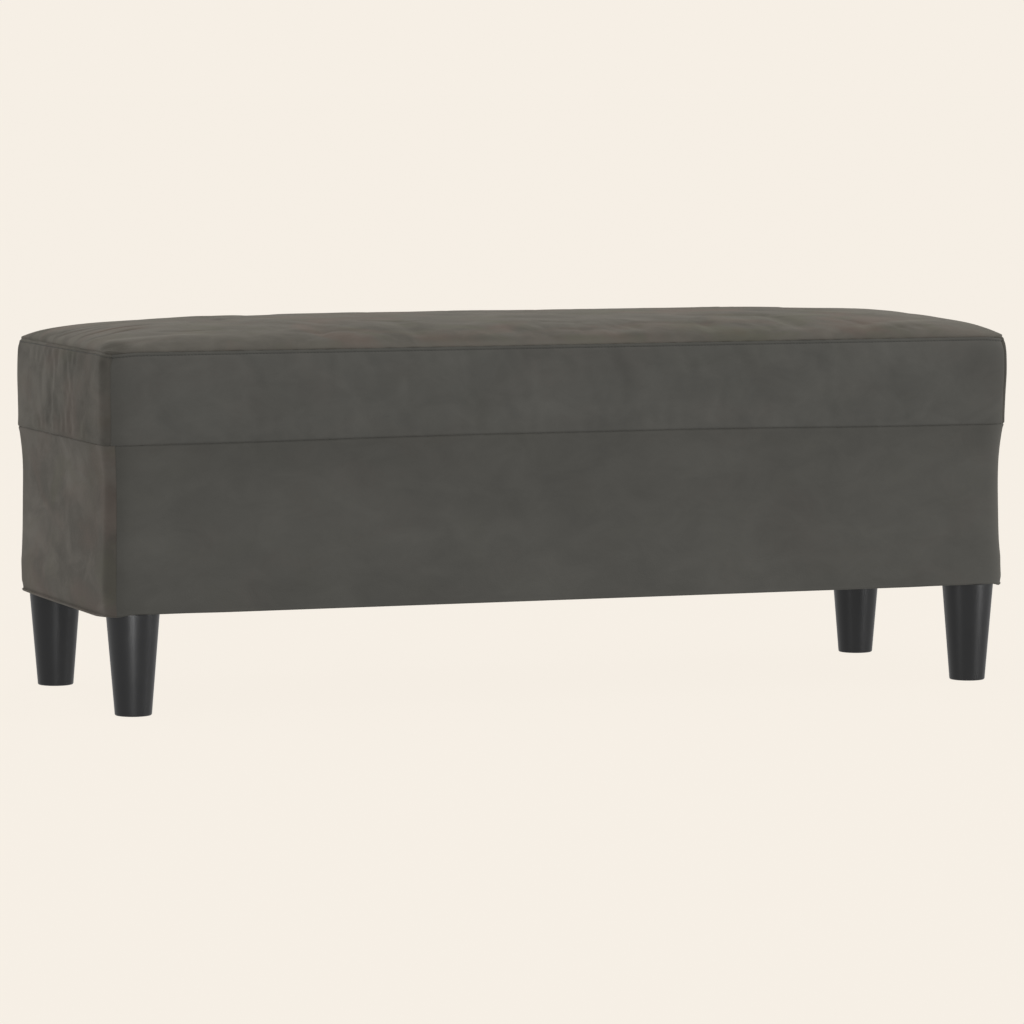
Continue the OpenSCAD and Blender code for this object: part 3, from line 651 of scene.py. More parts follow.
def velvet(name, streak, size, contrast, tint, dye_and_light):
    """Velvet with a mottled nap: stretch and size of the blotches, their contrast, share of colour, and a tone that
    is partly dye and partly painted light for how light falls on the panel. The shade attribute paints shade and
    highlight.
    """
    cover = bpy.context.scene.bench_cover
    dark, light, warm, moss, deep, bright = (
        [v * d for v, d in zip(tone, dye_and_light)]
        for tone in (cover.dark, cover.light, cover.warm, cover.moss, cover.deep, cover.bright)
    )
    f = Finish(name, Sheen_Weight=0.13, Sheen_Roughness=0.4, Sheen_Tint=(1.0, 0.93, 0.80, 1))
    f.surface.inputs["Specular IOR Level"].default_value = 0.05
    lay = f.mapped(*streak)
    clouds = f.noise(0.25 / size, 2.0, lay, 0.8)
    blots = f.noise(1 / size, 4.0, lay, 0.5, 0.6)
    nap = f.math("ADD", f.math("MULTIPLY", clouds, 0.45), f.math("MULTIPLY", blots, 0.55))
    tone = f.blend(f.spread(nap, 0.5 - 0.12 / contrast, 0.5 + 0.12 / contrast), dark, light)
    rosy = f.spread(f.noise(0.4 / size, 3.0, f.mapped(streak[0], (0.4, 0.2, 1.1)), 1.0), 0.48, 0.66, 0, tint)
    mossy = f.spread(f.noise(0.5 / size, 3.0, f.mapped(streak[0], (1.3, 0.7, 0.2)), 1.0), 0.50, 0.68, 0, tint)
    tone = f.blend(mossy, f.blend(rosy, tone, warm), moss)
    # painted shade towards the deep colour where the shade attribute is positive, painted highlight towards the
    # bright colour where it is negative
    shade = f.add("ShaderNodeAttribute", attribute_name="shade").outputs["Fac"]
    tone = f.blend(f.math("MULTIPLY", shade, -1.0), f.blend(shade, tone, deep), bright)
    pile = f.noise(1500.0, 1.0)
    relief = f.bump(pile, 0.0001, f.bump(f.noise(320.0, 3.0, lay), 0.00015, f.bump(blots, 0.0006)))
    return f.finish(tone, f.spread(pile, 0, 1, 0.85, 1.0), relief)


def black_plastic():
    """Moulded satin plastic with a faint grain."""
    f = Finish("black_plastic")
    colour = bpy.context.scene.bench_finish.plastic
    cloud = f.noise(18.0, 2.0)
    tone = f.blend(f.spread(cloud, 0.3, 0.7), toned(colour, 0.9), toned(colour, 1.15))
    rough = f.spread(f.noise(60.0, 4.0), 0.3, 0.7, 0.31, 0.37)
    return f.finish(tone, rough, f.bump(f.noise(900.0, 2.0), 0.00001))


def wood(name, tone, along_axis, ply=False):
    """Sawn softwood with its grain along one axis."""
    f = Finish(name, Roughness=0.7)
    scale = [14.0, 14.0, 14.0]
    scale["xyz".index(along_axis)] = 0.9
    lay = f.mapped(tuple(scale))
    rings = f.add("ShaderNodeTexWave", {
        "Vector": lay, "Scale": 0.9, "Distortion": 5.0, "Detail": 3.0, "Detail Scale": 1.2,
    }, wave_type="RINGS", rings_direction=along_axis.upper()).outputs["Fac"]
    fibres = f.noise(26.0, 4.0, lay, 0.2)
    knots = f.noise(0.5, 2.0, lay, 1.0)
    early, late = toned(tone, 1.12), toned(tone, 0.72)
    colour = f.blend(f.spread(rings, 0.35, 0.9), early, late)
    colour = f.blend(f.spread(fibres, 0.55, 0.8, 0, 0.35), colour, toned(tone, 0.6))
    colour = f.blend(f.spread(knots, 0.72, 0.8, 0, 0.5), colour, toned(tone, 0.35))
    if ply:
        layers = f.add("ShaderNodeTexWave", {"Vector": f.place, "Scale": 105.0, "Distortion": 0.0},
                       wave_type="BANDS", bands_direction="Z").outputs["Fac"]
        colour = f.blend(f.spread(layers, 0.4, 0.6, 0, 0.45), colour, toned(tone, 0.55))
    return f.finish(colour, f.spread(fibres, 0.3, 0.7, 0.6, 0.8), f.bump(fibres, 0.0002))


def zinc_steel():
    """Zinc-plated steel with spangle and drawn scratches."""
    f = Finish("zinc_steel", Metallic=1.0)
    colour = bpy.context.scene.bench_finish.zinc
    spangle = f.noise(240.0, 3.0, None, 0.5)
    tone = f.blend(f.spread(spangle, 0.35, 0.7), toned(colour, 0.8), toned(colour, 1.15))
    return f.finish(tone, f.spread(spangle, 0.3, 0.7, 0.28, 0.46), f.bump(f.noise(1800.0), 0.00002))


def foam_stuff():
    """Open-cell foam."""
    f = Finish("seat_foam")
    tone = bpy.context.scene.bench_padding.foam
    cells = f.add("ShaderNodeTexVoronoi", {"Vector": f.place, "Scale": 700.0}).outputs["Distance"]
    colour = f.blend(f.spread(cells, 0.1, 0.6), toned(tone, 0.72), tone)
    colour = f.blend(f.spread(f.noise(14.0, 3.0), 0.45, 0.75, 0, 0.4), colour, toned(tone, 0.9))
    return f.finish(colour, f.spread(cells, 0, 1, 0.95, 0.8), f.bump(cells, 0.0004))


def wadding_stuff():
    """Fluffy polyester wadding."""
    f = Finish("seat_wadding", Sheen_Weight=0.3)
    tone = bpy.context.scene.bench_padding.wadding
    fibres = f.noise(420.0, 5.0, None, 2.5, 0.7)
    tufts = f.noise(40.0, 3.0, None, 0.8)
    colour = f.blend(f.spread(fibres, 0.35, 0.7), toned(tone, 0.84), tone)
    return f.finish(colour, f.spread(fibres, 0, 1, 0.85, 1.0), f.bump(fibres, 0.0005, f.bump(tufts, 0.001)))


def underside_stuff():
    """Black non-woven cloth, bonded in a grid of points."""
    f = Finish("black_cloth", Sheen_Weight=0.1, Sheen_Roughness=0.5)
    tone = bpy.context.scene.bench_finish.black_cloth
    fibres = f.noise(900.0, 4.0, None, 1.5, 0.7)
    dots = f.add("ShaderNodeTexVoronoi", {"Vector": f.mapped(turn=(0, 0, math.pi / 4)), "Scale": 520.0,
                                          "Randomness": 0.0}).outputs["Distance"]
    colour = f.blend(f.spread(dots, 0.15, 0.4), toned(tone, 0.6), toned(tone, 1.3))
    colour = f.blend(f.spread(fibres, 0.5, 0.75, 0, 0.6), colour, toned(tone, 1.9))
    return f.finish(colour, f.spread(fibres, 0.3, 0.7, 0.7, 0.95), f.bump(dots, 0.00012, f.bump(fibres, 0.0001)))


def thread_stuff():
    """Twisted polyester thread, a shade darker than the velvet."""
    f = Finish("sewing_thread", Roughness=0.6)
    tone = bpy.context.scene.bench_cover.dark
    twist = f.add("ShaderNodeTexWave", {"Vector": f.place, "Scale": 900.0, "Distortion": 1.0}).outputs["Fac"]
    colour = f.blend(twist, toned(tone, 0.40), toned(tone, 0.75))
    return f.finish(colour, f.spread(twist, 0, 1, 0.5, 0.7), f.bump(twist, 0.00008))


# Velvet of each panel: stretch and turn of its blotches, their size, contrast, share of colour, and a tone that is
# partly the panel's dye and nap and partly painted light, lighter or darker for how light falls on that face
VELVETS = {
    "top": (((0.8, 1.1, 1.0), (0, 0, 0.12)), 0.030, 0.85, 0.6, (1.075, 1.03, 0.98)),
    "band_long": (((0.8, 1.0, 1.25), (0, 0.5, 0)), 0.038, 0.42, 0.06, (1.03, 1.035, 1.035)),
    "skirt_long": (((0.8, 1.0, 1.25), (0, 0.5, 0)), 0.038, 0.36, 0.06, (0.965, 0.965, 0.96)),
    "band_end": (((1.0, 0.55, 0.9), (0, 0, 0)), 0.028, 1.4, 0.4, (0.985, 0.95, 0.92)),
    "skirt_end": (((1.0, 0.55, 0.9), (0, 0, 0)), 0.030, 1.2, 0.4, (1.09, 1.035, 1.005)),
}


def cover_velvet(node):
    """Velvet of a panel: each is cut with its nap another way, and its tone also paints how light falls on that face.
    """
    if node != "top":
        panel, side = node.split("_")
        node = panel + ("_long" if side in LONG_SIDES else "_end")
    return once("velvet_" + node, velvet, "velvet_" + node, *VELVETS[node])


# ---------------------------------------------------------------- seat


def crown_height(x, y, cover):
    """Height of the crown's face over the plan."""
    half_l, half_d = body_half()
    u = np.clip(np.abs(x) / (half_l - cover.seam_dip), 0, 1)
    v = np.clip(np.abs(y) / (half_d - cover.seam_dip), 0, 1)
    share = (1 - u ** CROWN_END[0]) ** (1 / CROWN_END[1]) * (1 - v ** CROWN_SIDE[0]) ** (1 / CROWN_SIDE[1])
    return TOP_Z + (CROWN_Z - TOP_Z) * share


def ring_radius(inset, cover):
    """Plan radius of a ring of the crown, inset from the top seam."""
    half_d = body_half()[1] - cover.seam_dip
    return np.minimum(cover.corner_r - cover.seam_dip + RING_GROWTH * inset, RING_LIMIT * (half_d - inset))


def perimeter(step, near):
    """Columns round the whole body: the side and the distance along it, one array for each side."""
    return {side: steps_near((near, near), side_run(side), step)[:-1] for side in SIDES}


def crown_grid(columns, insets, cover):
    """Points of the crown's face, rings by columns."""
    edge = -cover.seam_dip - insets[:, None]
    radius = ring_radius(insets, cover)[:, None]
    flat, out = (
        np.concatenate(part, axis=1)
        for part in zip(*(plan(runs[None], edge, radius, side) for side, runs in columns.items()))
    )
    grid = np.concatenate([flat, crown_height(flat[..., :1], flat[..., 1:], cover)], -1)
    grid[0, :, 2] = TOP_Z
    # the crown's edge follows the band's where that leans in or out at the ends, or falls at the corners
    seam = lean(np.concatenate([flat, 0 * flat[..., :1] + TOP_Z], -1))
    grid[..., :2] += out * (seam * np.exp(-insets / LEAN_FADE)[:, None])[..., None]
    grid[..., 2] -= around(corner_fall, columns) * np.exp(-insets / FALL_FADE)[:, None]
    return grid


def band_section(heights, cover):
    """Edge and height of the band's face, rolled into its two seams."""
    low, high = WAIST_Z + cover.seam_roll, TOP_Z - cover.seam_roll
    edge = band_out(np.clip(heights, low, high), cover)
    foot, head = ramp(low - heights, cover.seam_roll), ramp(heights - high, cover.seam_roll)
    edge += (cover.waist_flare - cover.seam_dip - band_out(low, cover)) * foot**ROLL_POWER
    edge += (-cover.seam_dip - band_out(high, cover)) * head**ROLL_POWER
    return np.stack([edge, heights], -1)


def band_sweep(heights, side, runs, cover):
    """Places and normals of a band's face."""
    section = band_section(heights, cover)
    return sweep(section, cover.corner_r + section[:, :1], side, runs)


def crown_insets(step, cover):
    """Insets of the crown's rings, even along its face and fine at the top seam."""
    half_d = body_half()[1] - cover.seam_dip
    inset = half_d * np.linspace(0, 1, CROWN_SAMPLES) ** 2
    path = np.stack([inset, crown_height(0 * inset, half_d - inset, cover)], -1)
    spots = steps_near((True, False), walked(path)[-1], step)
    return along(path, spots)[:, 0]


class SeatForm:
    """The seat's cover after a short cloth simulation: how far each place moves along its normal."""

    def __init__(self):
        cover = bpy.context.scene.bench_cover
        self.columns = perimeter(FORM_STEP, False)
        self.heights = np.linspace(WAIST_Z, TOP_Z, FORM_ROWS)
        self.insets = crown_insets(FORM_RING, cover)
        walls = np.concatenate([band_sweep(self.heights, side, runs, cover)[0]
                                for side, runs in self.columns.items()], axis=1)
        self.rest = np.concatenate([walls, crown_grid(self.columns, self.insets[1:-1], cover)])
        self.starts, self.before, total = [], {}, 0.0
        for side, runs in self.columns.items():
            self.before[side] = total
            self.starts += [total + run for run in runs]
            total += side_run(side)
        self.starts.append(total)
        self.moved = np.zeros(self.rest.shape[:2])
        self.simulate()

    def simulate(self):
        """Blows the closed cover up a little against its sewn seams."""
        rows, cols = self.rest.shape[:2]
        n = rows * cols
        faces = quads(rows, cols, 0, True).tolist()
        faces.append(list(range(cols))[::-1])
        faces.append(list(range(n - cols, n)))
        mesh = bpy.data.meshes.new("seat_form")
        mesh.from_pydata(self.rest.reshape(-1, 3).tolist(), [], faces)
        form = bpy.data.objects.new("seat_form", mesh)
        bpy.context.scene.collection.objects.link(form)
        pins = form.vertex_groups.new(name="seams")
        seam = len(self.heights) - 1
        index = np.arange(n).reshape(rows, cols)
        pins.add(index[[0, seam, -1]].ravel().tolist(), 1.0, "REPLACE")
        corners = [self.starts.index(start) for start in self.before.values()]
        pins.add(index[:seam, corners].ravel().tolist(), CORNER_HOLD, "REPLACE")
        deselect()
        form.select_set(True)
        bpy.context.view_layer.objects.active = form
        bpy.ops.object.modifier_add(type="CLOTH")
        cloth = form.modifiers[-1]
        for key, value in CLOTH.items():
            setattr(cloth.settings, key, value)
        cloth.settings.effector_weights.gravity = 0
        cloth.collision_settings.use_collision = False
        cloth.point_cache.frame_start = 1
        cloth.point_cache.frame_end = FORM_FRAMES
        for number in range(1, FORM_FRAMES + 1):
            bpy.context.scene.frame_set(number)
        bpy.ops.object.modifier_apply(modifier=cloth.name)
        after = np.zeros(n * 3)
        form.data.vertices.foreach_get("co", after)
        move = after.reshape(rows, cols, 3) - self.rest
        cap = bpy.context.scene.bench_padding.swell_cap
        out = cap * np.tanh((move * normals_of(self.rest)).sum(-1) / cap)
        self.moved = (out - out.mean(axis=1, keepdims=True)) * self.freedom()
        bpy.data.objects.remove(form)
        bpy.context.scene.frame_set(1)

    def freedom(self):
        """Share of its movement that a place keeps: none at the bands' corners and at the ends of the crown."""
        half_l, half_d = body_half()
        end, edge = half_l - np.abs(self.rest[..., 0]), half_d - np.abs(self.rest[..., 1])
        crown = np.arange(len(self.rest))[:, None] >= len(self.heights)
        return np.where(crown, smooth((end - ENDS_STILL) / ENDS_FREE),
                        smooth((np.hypot(end, edge) - CORNERS_STILL) / CORNERS_FREE))

    def at(self, rows, side, runs):
        """Movement at rows of the form and distances along a side."""
        columns = np.interp(self.before[side] + runs, self.starts, np.arange(len(self.starts)))
        return cubic(cubic(self.moved, rows).T, columns, wrap=True).T


MADE = {}


def once(name, recipe, *facts):
    """A thing that is made once and then used again."""
    if name not in MADE:
        MADE[name] = recipe(*facts)
    return MADE[name]


def side_painted_shading(side, runs, seam, far, turn, rear, share=1):
    """Painted shade and light along a side: darker at its first corner's seam, lighter at its far one, and on an end
    darker where it turns to the front, by a share, and lighter at the rear."""
    if side in LONG_SIDES:
        return seam * bell(runs, SHADE_SEAM)[None] - far * bell(side_run(side) - runs, LIGHT_FAR)[None]
    front = (runs if side == "right" else side_run(side) - runs)[None]
    return (share * (seam * bell(front, SHADE_FRONT) + turn * bell(front - SHADE_TURN, SHADE_TURN_REACH))
            - rear * bell(side_run(side) - front, LIGHT_REAR))


def band_move(grid, side, runs):
    """Slow unevenness of the band, drawn in at its corners and pinched under the top seam."""
    form = once("seat form", SeatForm)
    up = np.clip((grid[..., 2] - WAIST_Z) / (TOP_Z - WAIST_Z), 0, 1)
    soft = unevenness(grid, BAND_WAVES)
    move = FORM_SHARE * form.at(up[:, len(runs) // 2] * (len(form.heights) - 1), side, runs)
    move += soft * swell(up, (0.5, 0.5)) + lean(grid)
    gap, drop = corner_gap(side, runs), TOP_Z - grid[..., 2]
    move -= DRAW_DEPTH * bell(gap, DRAW_REACH) * ramp(drop, DRAW_TOP) * ramp(up, DRAW_FOOT)
    for depth, reach, middle, height in PUCKERS:
        move -= depth * bell(gap, reach) * bell(drop - middle, height)
    return move


def wrinkle_field(grid):
    """Long soft stretch wrinkles of the crown."""
    total = np.zeros(grid.shape[:-1])
    for height, width, line in WRINKLES:
        points = cubic(np.array(line) / 1000, np.linspace(0, len(line) - 1, WRINKLE_FINE * len(line)))
        near, at = np.full(total.shape, 1.0), np.zeros(total.shape)
        for k, point in enumerate(points):
            far = np.hypot(grid[..., 0] - point[0], grid[..., 1] - point[1])
            at = np.where(far < near, k / (len(points) - 1), at)
            near = np.minimum(near, far)
        fade = np.clip(at / WRINKLE_GROWTH, WRINKLE_START, 1) * ramp(1 - at, WRINKLE_END)
        d = (near / (width / 1000)) ** 2
        total += height / 1000 * smooth(fade) * (1 - WRINKLE_BANK * d) * np.exp(-d / 2)
    return total


def crown_move(grid, insets, columns):
    """Slow unevenness of the crown, with its wrinkles."""
    form = once("seat form", SeatForm)
    rows = len(form.heights) - 1 + np.interp(insets, form.insets[:-1], np.arange(len(form.insets) - 1))
    move = FORM_SHARE * np.concatenate([form.at(rows, side, runs) for side, runs in columns.items()], axis=1)
    hold = ramp(insets, CROWN_CALM)[:, None]
    soft = unevenness(grid, CROWN_WAVES)
    move += hold * (soft + wrinkle_field(grid) - DIMPLE_DEPTH * bell(corner_dimple(grid), DIMPLE_R))
    move[-1] = move[-1].mean()
    return move


def corner_dimple(grid):
    """Distance in plan from the dimple beside each corner of the crown."""
    (half_l, half_d), (end, edge) = body_half(), DIMPLE_AT
    return np.hypot(half_l - end - np.abs(grid[..., 0]), half_d - edge - np.abs(grid[..., 1]))


# Painted shade and light of the crown. Painted shadow in the dimple: amount at the front left and elsewhere, reach,
# and how far it stays off the seam
DIMPLE_PAINTED_SHADE, DIMPLE_PAINTED_SHADE_REST, DIMPLE_PAINTED_SHADE_R, DIMPLE_PAINTED_SHADE_OFF = 1.0, 0.2, 0.0178, 0.004
# Painted shade along the front at the left end: amount, reach from the edge, where it starts and over what length
FRONT_PAINTED_SHADE, FRONT_PAINTED_SHADE_REACH, FRONT_PAINTED_SHADE_AT, FRONT_PAINTED_SHADE_OVER = 0.28, 0.013, -0.40, 0.06
# Painted light on the ends: amount, distance from the middle and length of the change
ENDS_PAINTED_LIGHT, ENDS_PAINTED_LIGHT_AT, ENDS_PAINTED_LIGHT_OVER = 0.19, 0.33, 0.1
# Painted shade on the rear half of the left end: amount, where it starts, and the lengths of its two changes
LEFT_PAINTED_SHADE, LEFT_PAINTED_SHADE_AT, LEFT_PAINTED_SHADE_OVER, LEFT_PAINTED_SHADE_REAR = 0.22, -0.465, 0.02, 0.06
# Painted highlight on the roll beside the top seam: amount, reach, its share everywhere, and the middle and reach of
# the rest
ROLL_PAINTED_HIGHLIGHT, ROLL_PAINTED_HIGHLIGHT_REACH, ROLL_PAINTED_HIGHLIGHT_LEAST, ROLL_PAINTED_HIGHLIGHT_AT, ROLL_PAINTED_HIGHLIGHT_SPREAD = 0.6, 0.0062, 0.15, -0.07, 0.2
# Painted shade in a wrinkle and painted highlight on its bank, for each metre of height
WRINKLE_PAINTED_SHADE = 340


def crown_painted_shading(grid, gap):
    """Painted shade and light of the crown, by place and by distance from the top seam."""
    x, y = grid[..., 0], grid[..., 1]
    deep = np.where((x < 0) & (y < 0), DIMPLE_PAINTED_SHADE, DIMPLE_PAINTED_SHADE_REST)
    shade = deep * np.exp(-((corner_dimple(grid) / DIMPLE_PAINTED_SHADE_R) ** 4)) * (1 - bell(gap, DIMPLE_PAINTED_SHADE_OFF))
    front = FRONT_PAINTED_SHADE * bell(y + body_half()[1], FRONT_PAINTED_SHADE_REACH) * smooth((FRONT_PAINTED_SHADE_AT - x) / FRONT_PAINTED_SHADE_OVER)
    shade += front - ENDS_PAINTED_LIGHT * smooth((np.abs(x) - ENDS_PAINTED_LIGHT_AT) / ENDS_PAINTED_LIGHT_OVER)
    shade += LEFT_PAINTED_SHADE * smooth((LEFT_PAINTED_SHADE_AT - x) / LEFT_PAINTED_SHADE_OVER) * smooth(y / LEFT_PAINTED_SHADE_REAR)
    along_seam = ROLL_PAINTED_HIGHLIGHT_LEAST + (1 - ROLL_PAINTED_HIGHLIGHT_LEAST) * bell(x - ROLL_PAINTED_HIGHLIGHT_AT, ROLL_PAINTED_HIGHLIGHT_SPREAD)
    shade -= ROLL_PAINTED_HIGHLIGHT * bell(gap, ROLL_PAINTED_HIGHLIGHT_REACH) * along_seam
    return shade - WRINKLE_PAINTED_SHADE * wrinkle_field(grid)


class BENCH_OT_top_panel(bpy.types.Operator):
    """Crowned velvet top of the seat"""

    bl_idname = "bench.top_panel"
    bl_label = "Top Panel"

    def execute(self, context):
        cover = context.scene.bench_cover
        columns = perimeter(TOP_STEP, True)
        insets = crown_insets(TOP_RING, cover)
        grid = crown_grid(columns, insets, cover)
        normal = normals_of(grid)
        normal[-1] = (0, 0, 1)
        slow = crown_move(grid, insets, columns)
        gap = np.linalg.norm(grid - grid[:1], axis=-1)
        depth, width = TOP_GROOVE
        groove = -depth * cover.seam_cut * around(seam_bite, columns) * bell(gap, width)
        outer, inner = velvet_faces(grid, normal, slow, groove, [0])
        outer[-1, :, 1] = inner[-1, :, 1] = 0
        # painted shade and light of the crown
        shade = crown_painted_shading(grid, gap)
        piece = skin("cover_top", outer, inner, cover_velvet("top"), "velvet", "top_panel", shade, whole=True)
        return {"FINISHED"}


class BENCH_OT_bands(bpy.types.Operator):
    """Four velvet bands round the seat, sewn at the corners, with a topstitched upper edge"""

    bl_idname = "bench.bands"
    bl_label = "Seat Bands"

    def execute(self, context):
        cover = context.scene.bench_cover
        height = TOP_Z - WAIST_Z
        drops = np.concatenate([
            np.arange(0, STITCHED_H, STITCHED_STEP),
            STITCHED_H + steps_near((False, True), height - STITCHED_H, cover.grain, growth=STITCHED_GROWTH),
        ])
        for side in SIDES:
            runs = steps_near((True, True), side_run(side), cover.grain)
            grid, normal = band_sweep(TOP_Z - drops[::-1], side, runs, cover)
            slow = band_move(grid, side, runs)
            top = np.broadcast_to(drops[::-1, None], slow.shape)
            gap = corner_gap(side, runs)
            bite = seam_bite(side, runs)
            (low, low_w), (high, high_w), (seam, seam_w) = WAIST_GROOVE, TOP_GROOVE, CORNER_GROOVE
            fine = -cover.seam_cut * (low * bell(height - top, low_w) + high * bite * bell(top, high_w))
            fine = np.minimum(fine, -seam * cover.seam_cut * bell(gap, seam_w))
            (pull, pull_h), (dent, dent_at, dent_h) = STITCH_DENT, SEAM_DENT
            fine -= pull * bell(top - cover.stitch_drop, pull_h) + dent * bell(top - dent_at, dent_h)
            outer, inner = velvet_faces(grid, normal, slow, fine, [0, -1])
            # painted shade in the strip under the top seam and in the puckers by the corners, and painted shade and
            # light by the corner seams
            shade = TURN_PAINTED_SHADE * bite * (top < TURN_PAINTED_SHADE_H) + side_painted_shading(side, runs, *BAND_PAINTED_SHADING)
            if side not in LONG_SIDES:
                amount, (gap_at, gap_w), (drop_at, drop_w) = PUCKER_PAINTED_SHADE
                shade += amount * bell(gap - gap_at, gap_w) * bell(top - drop_at, drop_w)
            piece = skin(f"cover_band_{side}", outer, inner, cover_velvet(f"band_{side}"), "velvet",
                         f"band_{side}", shade)
        return {"FINISHED"}


class BENCH_OT_topstitch(bpy.types.Operator):
    """Row of stitches under the top seam, one stitch modelled and copied"""

    bl_idname = "bench.topstitch"
    bl_label = "Topstitch"

    def execute(self, context):
        cover = context.scene.bench_cover
        deselect()
        bpy.ops.mesh.primitive_uv_sphere_add(segments=6, ring_count=5, radius=1)
        stitch = context.active_object
        form = np.array([v.co for v in stitch.data.vertices], float)
        sides = [np.array(p.vertices) for p in stitch.data.polygons]
        bpy.data.objects.remove(stitch)
        form[:, 2] = np.sign(form[:, 2]) * np.abs(form[:, 2]) ** STITCH_BLUNT
        lift = STITCH_ARCH * (1 - form[:, 2] ** 2)
        points, faces = [], []
        for side in SIDES:
            runs = steps_near((False, False), side_run(side), cover.grain)
            heights = TOP_Z - cover.stitch_drop + np.array([-STITCHED_STEP, 0, STITCHED_STEP])
            grid, normal = band_sweep(heights, side, runs, cover)
            sunk = band_move(grid, side, runs) - STITCH_SINK
            line, face = (grid + normal * sunk[..., None])[1], normal[1]
            length = walked(line)[-1]
            count = int(length / cover.stitch_pitch)
            spots = (np.arange(count) + 0.5) * length / count
            at, ahead = along(line, spots), along(line, spots + STITCH_AHEAD)
            out = along(line, spots, face)
            out /= np.linalg.norm(out, axis=1, keepdims=True)
            way = (ahead - at) / np.linalg.norm(ahead - at, axis=1, keepdims=True)
            across = np.cross(way, out)
            for k in range(count):
                start = len(points) * len(form)
                points.append(
                    at[k]
                    + STITCH_HALF * cover.stitch_pitch * form[:, 2:] * way[k]
                    + cover.thread_r * (form[:, :1] * across[k] + (form[:, 1:2] + lift[:, None]) * out[k])
                )
                faces += [(side_points + start).tolist() for side_points in sides]
        make_piece("top_stitches", np.concatenate(points), faces, once("thread", thread_stuff), None)
        return {"FINISHED"}


def hem_sag(side, runs):
    """How far the hem hangs below the base, as a share of the full roll."""
    gap = corner_gap(side, runs)[0]
    corner = np.where(runs < side_run(side) / 2, *HEM_CORNERS[side])
    if side not in LONG_SIDES:
        return corner + (1 - corner) * smooth(gap / HEM_END_OVER)
    low = HEM_LOW + HEM_MORE * smooth((gap - HEM_MORE_AT) / HEM_MORE_OVER)
    return corner + (low - corner) * smooth(gap / HEM_SIDE_OVER)


def skirt_sections(side, runs, cover):
    """Edge and height of the skirt's face for each column, from the hem's inner edge up to the waist seam."""
    under, outside = HEM_STEPS
    spots = np.concatenate([np.linspace(0, 1, under)[:-1], np.linspace(1, len(HEM_FLAT) - 1, outside)])
    flat = cubic(np.array(HEM_FLAT), spots) / 1000
    roll = cubic(np.array(HEM_ROLL), spots) / 1000
    roll[:, 1] *= np.where(roll[:, 1] < 0, cover.hem_sag / HEM_DEPTH, 1)
    share = hem_sag(side, runs)[:, None]
    hem = flat[:, None] * (1 - share) + roll[:, None] * share + (0, BASE_Z)
    start, last = hem[-1, 0, 1], WAIST_Z - cover.seam_roll
    heights = np.linspace(start, last, SKIRT_SAMPLES)
    path = np.stack([skirt_out(heights, cover), heights], -1)
    face = along(path, steps_near((False, False), walked(path)[-1], cover.grain)[1:])
    t = np.linspace(0, 1, ROLL_STEPS)[1:]
    edge = skirt_out(last, cover) + (cover.waist_flare - cover.seam_dip - skirt_out(last, cover)) * t**ROLL_POWER
    top = np.concatenate([face, np.stack([edge, last + cover.seam_roll * t], -1)])
    return np.concatenate([hem, np.broadcast_to(top[:, None], (len(top), len(runs), 2))])


class BENCH_OT_skirts(bpy.types.Operator):
    """Four velvet skirts, drawn in below the waist seam, with a hem that turns under the bottom frame"""

    bl_idname = "bench.skirts"
    bl_label = "Skirts"

    def execute(self, context):
        cover = context.scene.bench_cover
        for side in SIDES:
            runs = steps_near((True, True), side_run(side), cover.grain)
            section = skirt_sections(side, runs, cover)
            radius = np.maximum(cover.corner_r + section[..., 0], LEAST_RADIUS)
            grid, normal = sweep(section, radius, side, runs + cover.seam_shift)
            above = ramp(grid[..., 2] - BASE_Z - SKIRT_START, SKIRT_GROWTH)
            below = WAIST_Z - section[..., 1]
            gap = corner_gap(side, runs)
            slow = above * ramp(below, SKIRT_CALM) * unevenness(grid, SKIRT_WAVES)
            slow += lean(grid) * ramp(grid[..., 2] - BASE_Z, SKIRT_LEAN_FOOT)
            slow -= SKIRT_DRAW * bell(gap, SKIRT_DRAW_REACH) * above * ramp(below, SKIRT_DRAW_TOP)
            (high, high_w), (seam, seam_w), (roll, roll_at, roll_h) = WAIST_GROOVE, SKIRT_GROOVE, WAIST_ROLL
            fine = -high * cover.seam_cut * bell(below, high_w)
            fine = np.minimum(fine, -seam * cover.seam_cut * bell(gap, seam_w) * above)
            fine = fine + roll * bell(below - roll_at, roll_h)
            outer, inner = velvet_faces(grid, normal, slow, fine, [-1])
            # painted shade in the crease of the hem, and painted shade and light by the corner seams
            amount, drop, half, outside = CREASE_PAINTED_SHADE
            crease = bell(section[..., 1] - BASE_Z + drop, half) * (section[..., 0] > outside)
            least, start, over = UPPER_SHADING_SHARE
            upper = least + (1 - least) * smooth((grid[..., 2] - start) / over)
            shade = side_painted_shading(side, runs, *SKIRT_PAINTED_SHADING, upper) + amount * hem_sag(side, runs) * crease
            piece = skin(f"cover_skirt_{side}", outer, inner, cover_velvet(f"skirt_{side}"), "velvet",
                         f"skirt_{side}", shade)
        return {"FINISHED"}


# Mesh of the padding: rows up its sides, steps round the wadding and the foam, and rings of the foam's base
PADDING_ROWS, WADDING_STEP, FOAM_STEP, FOAM_RINGS = 14, 0.0065, 0.0085, 9


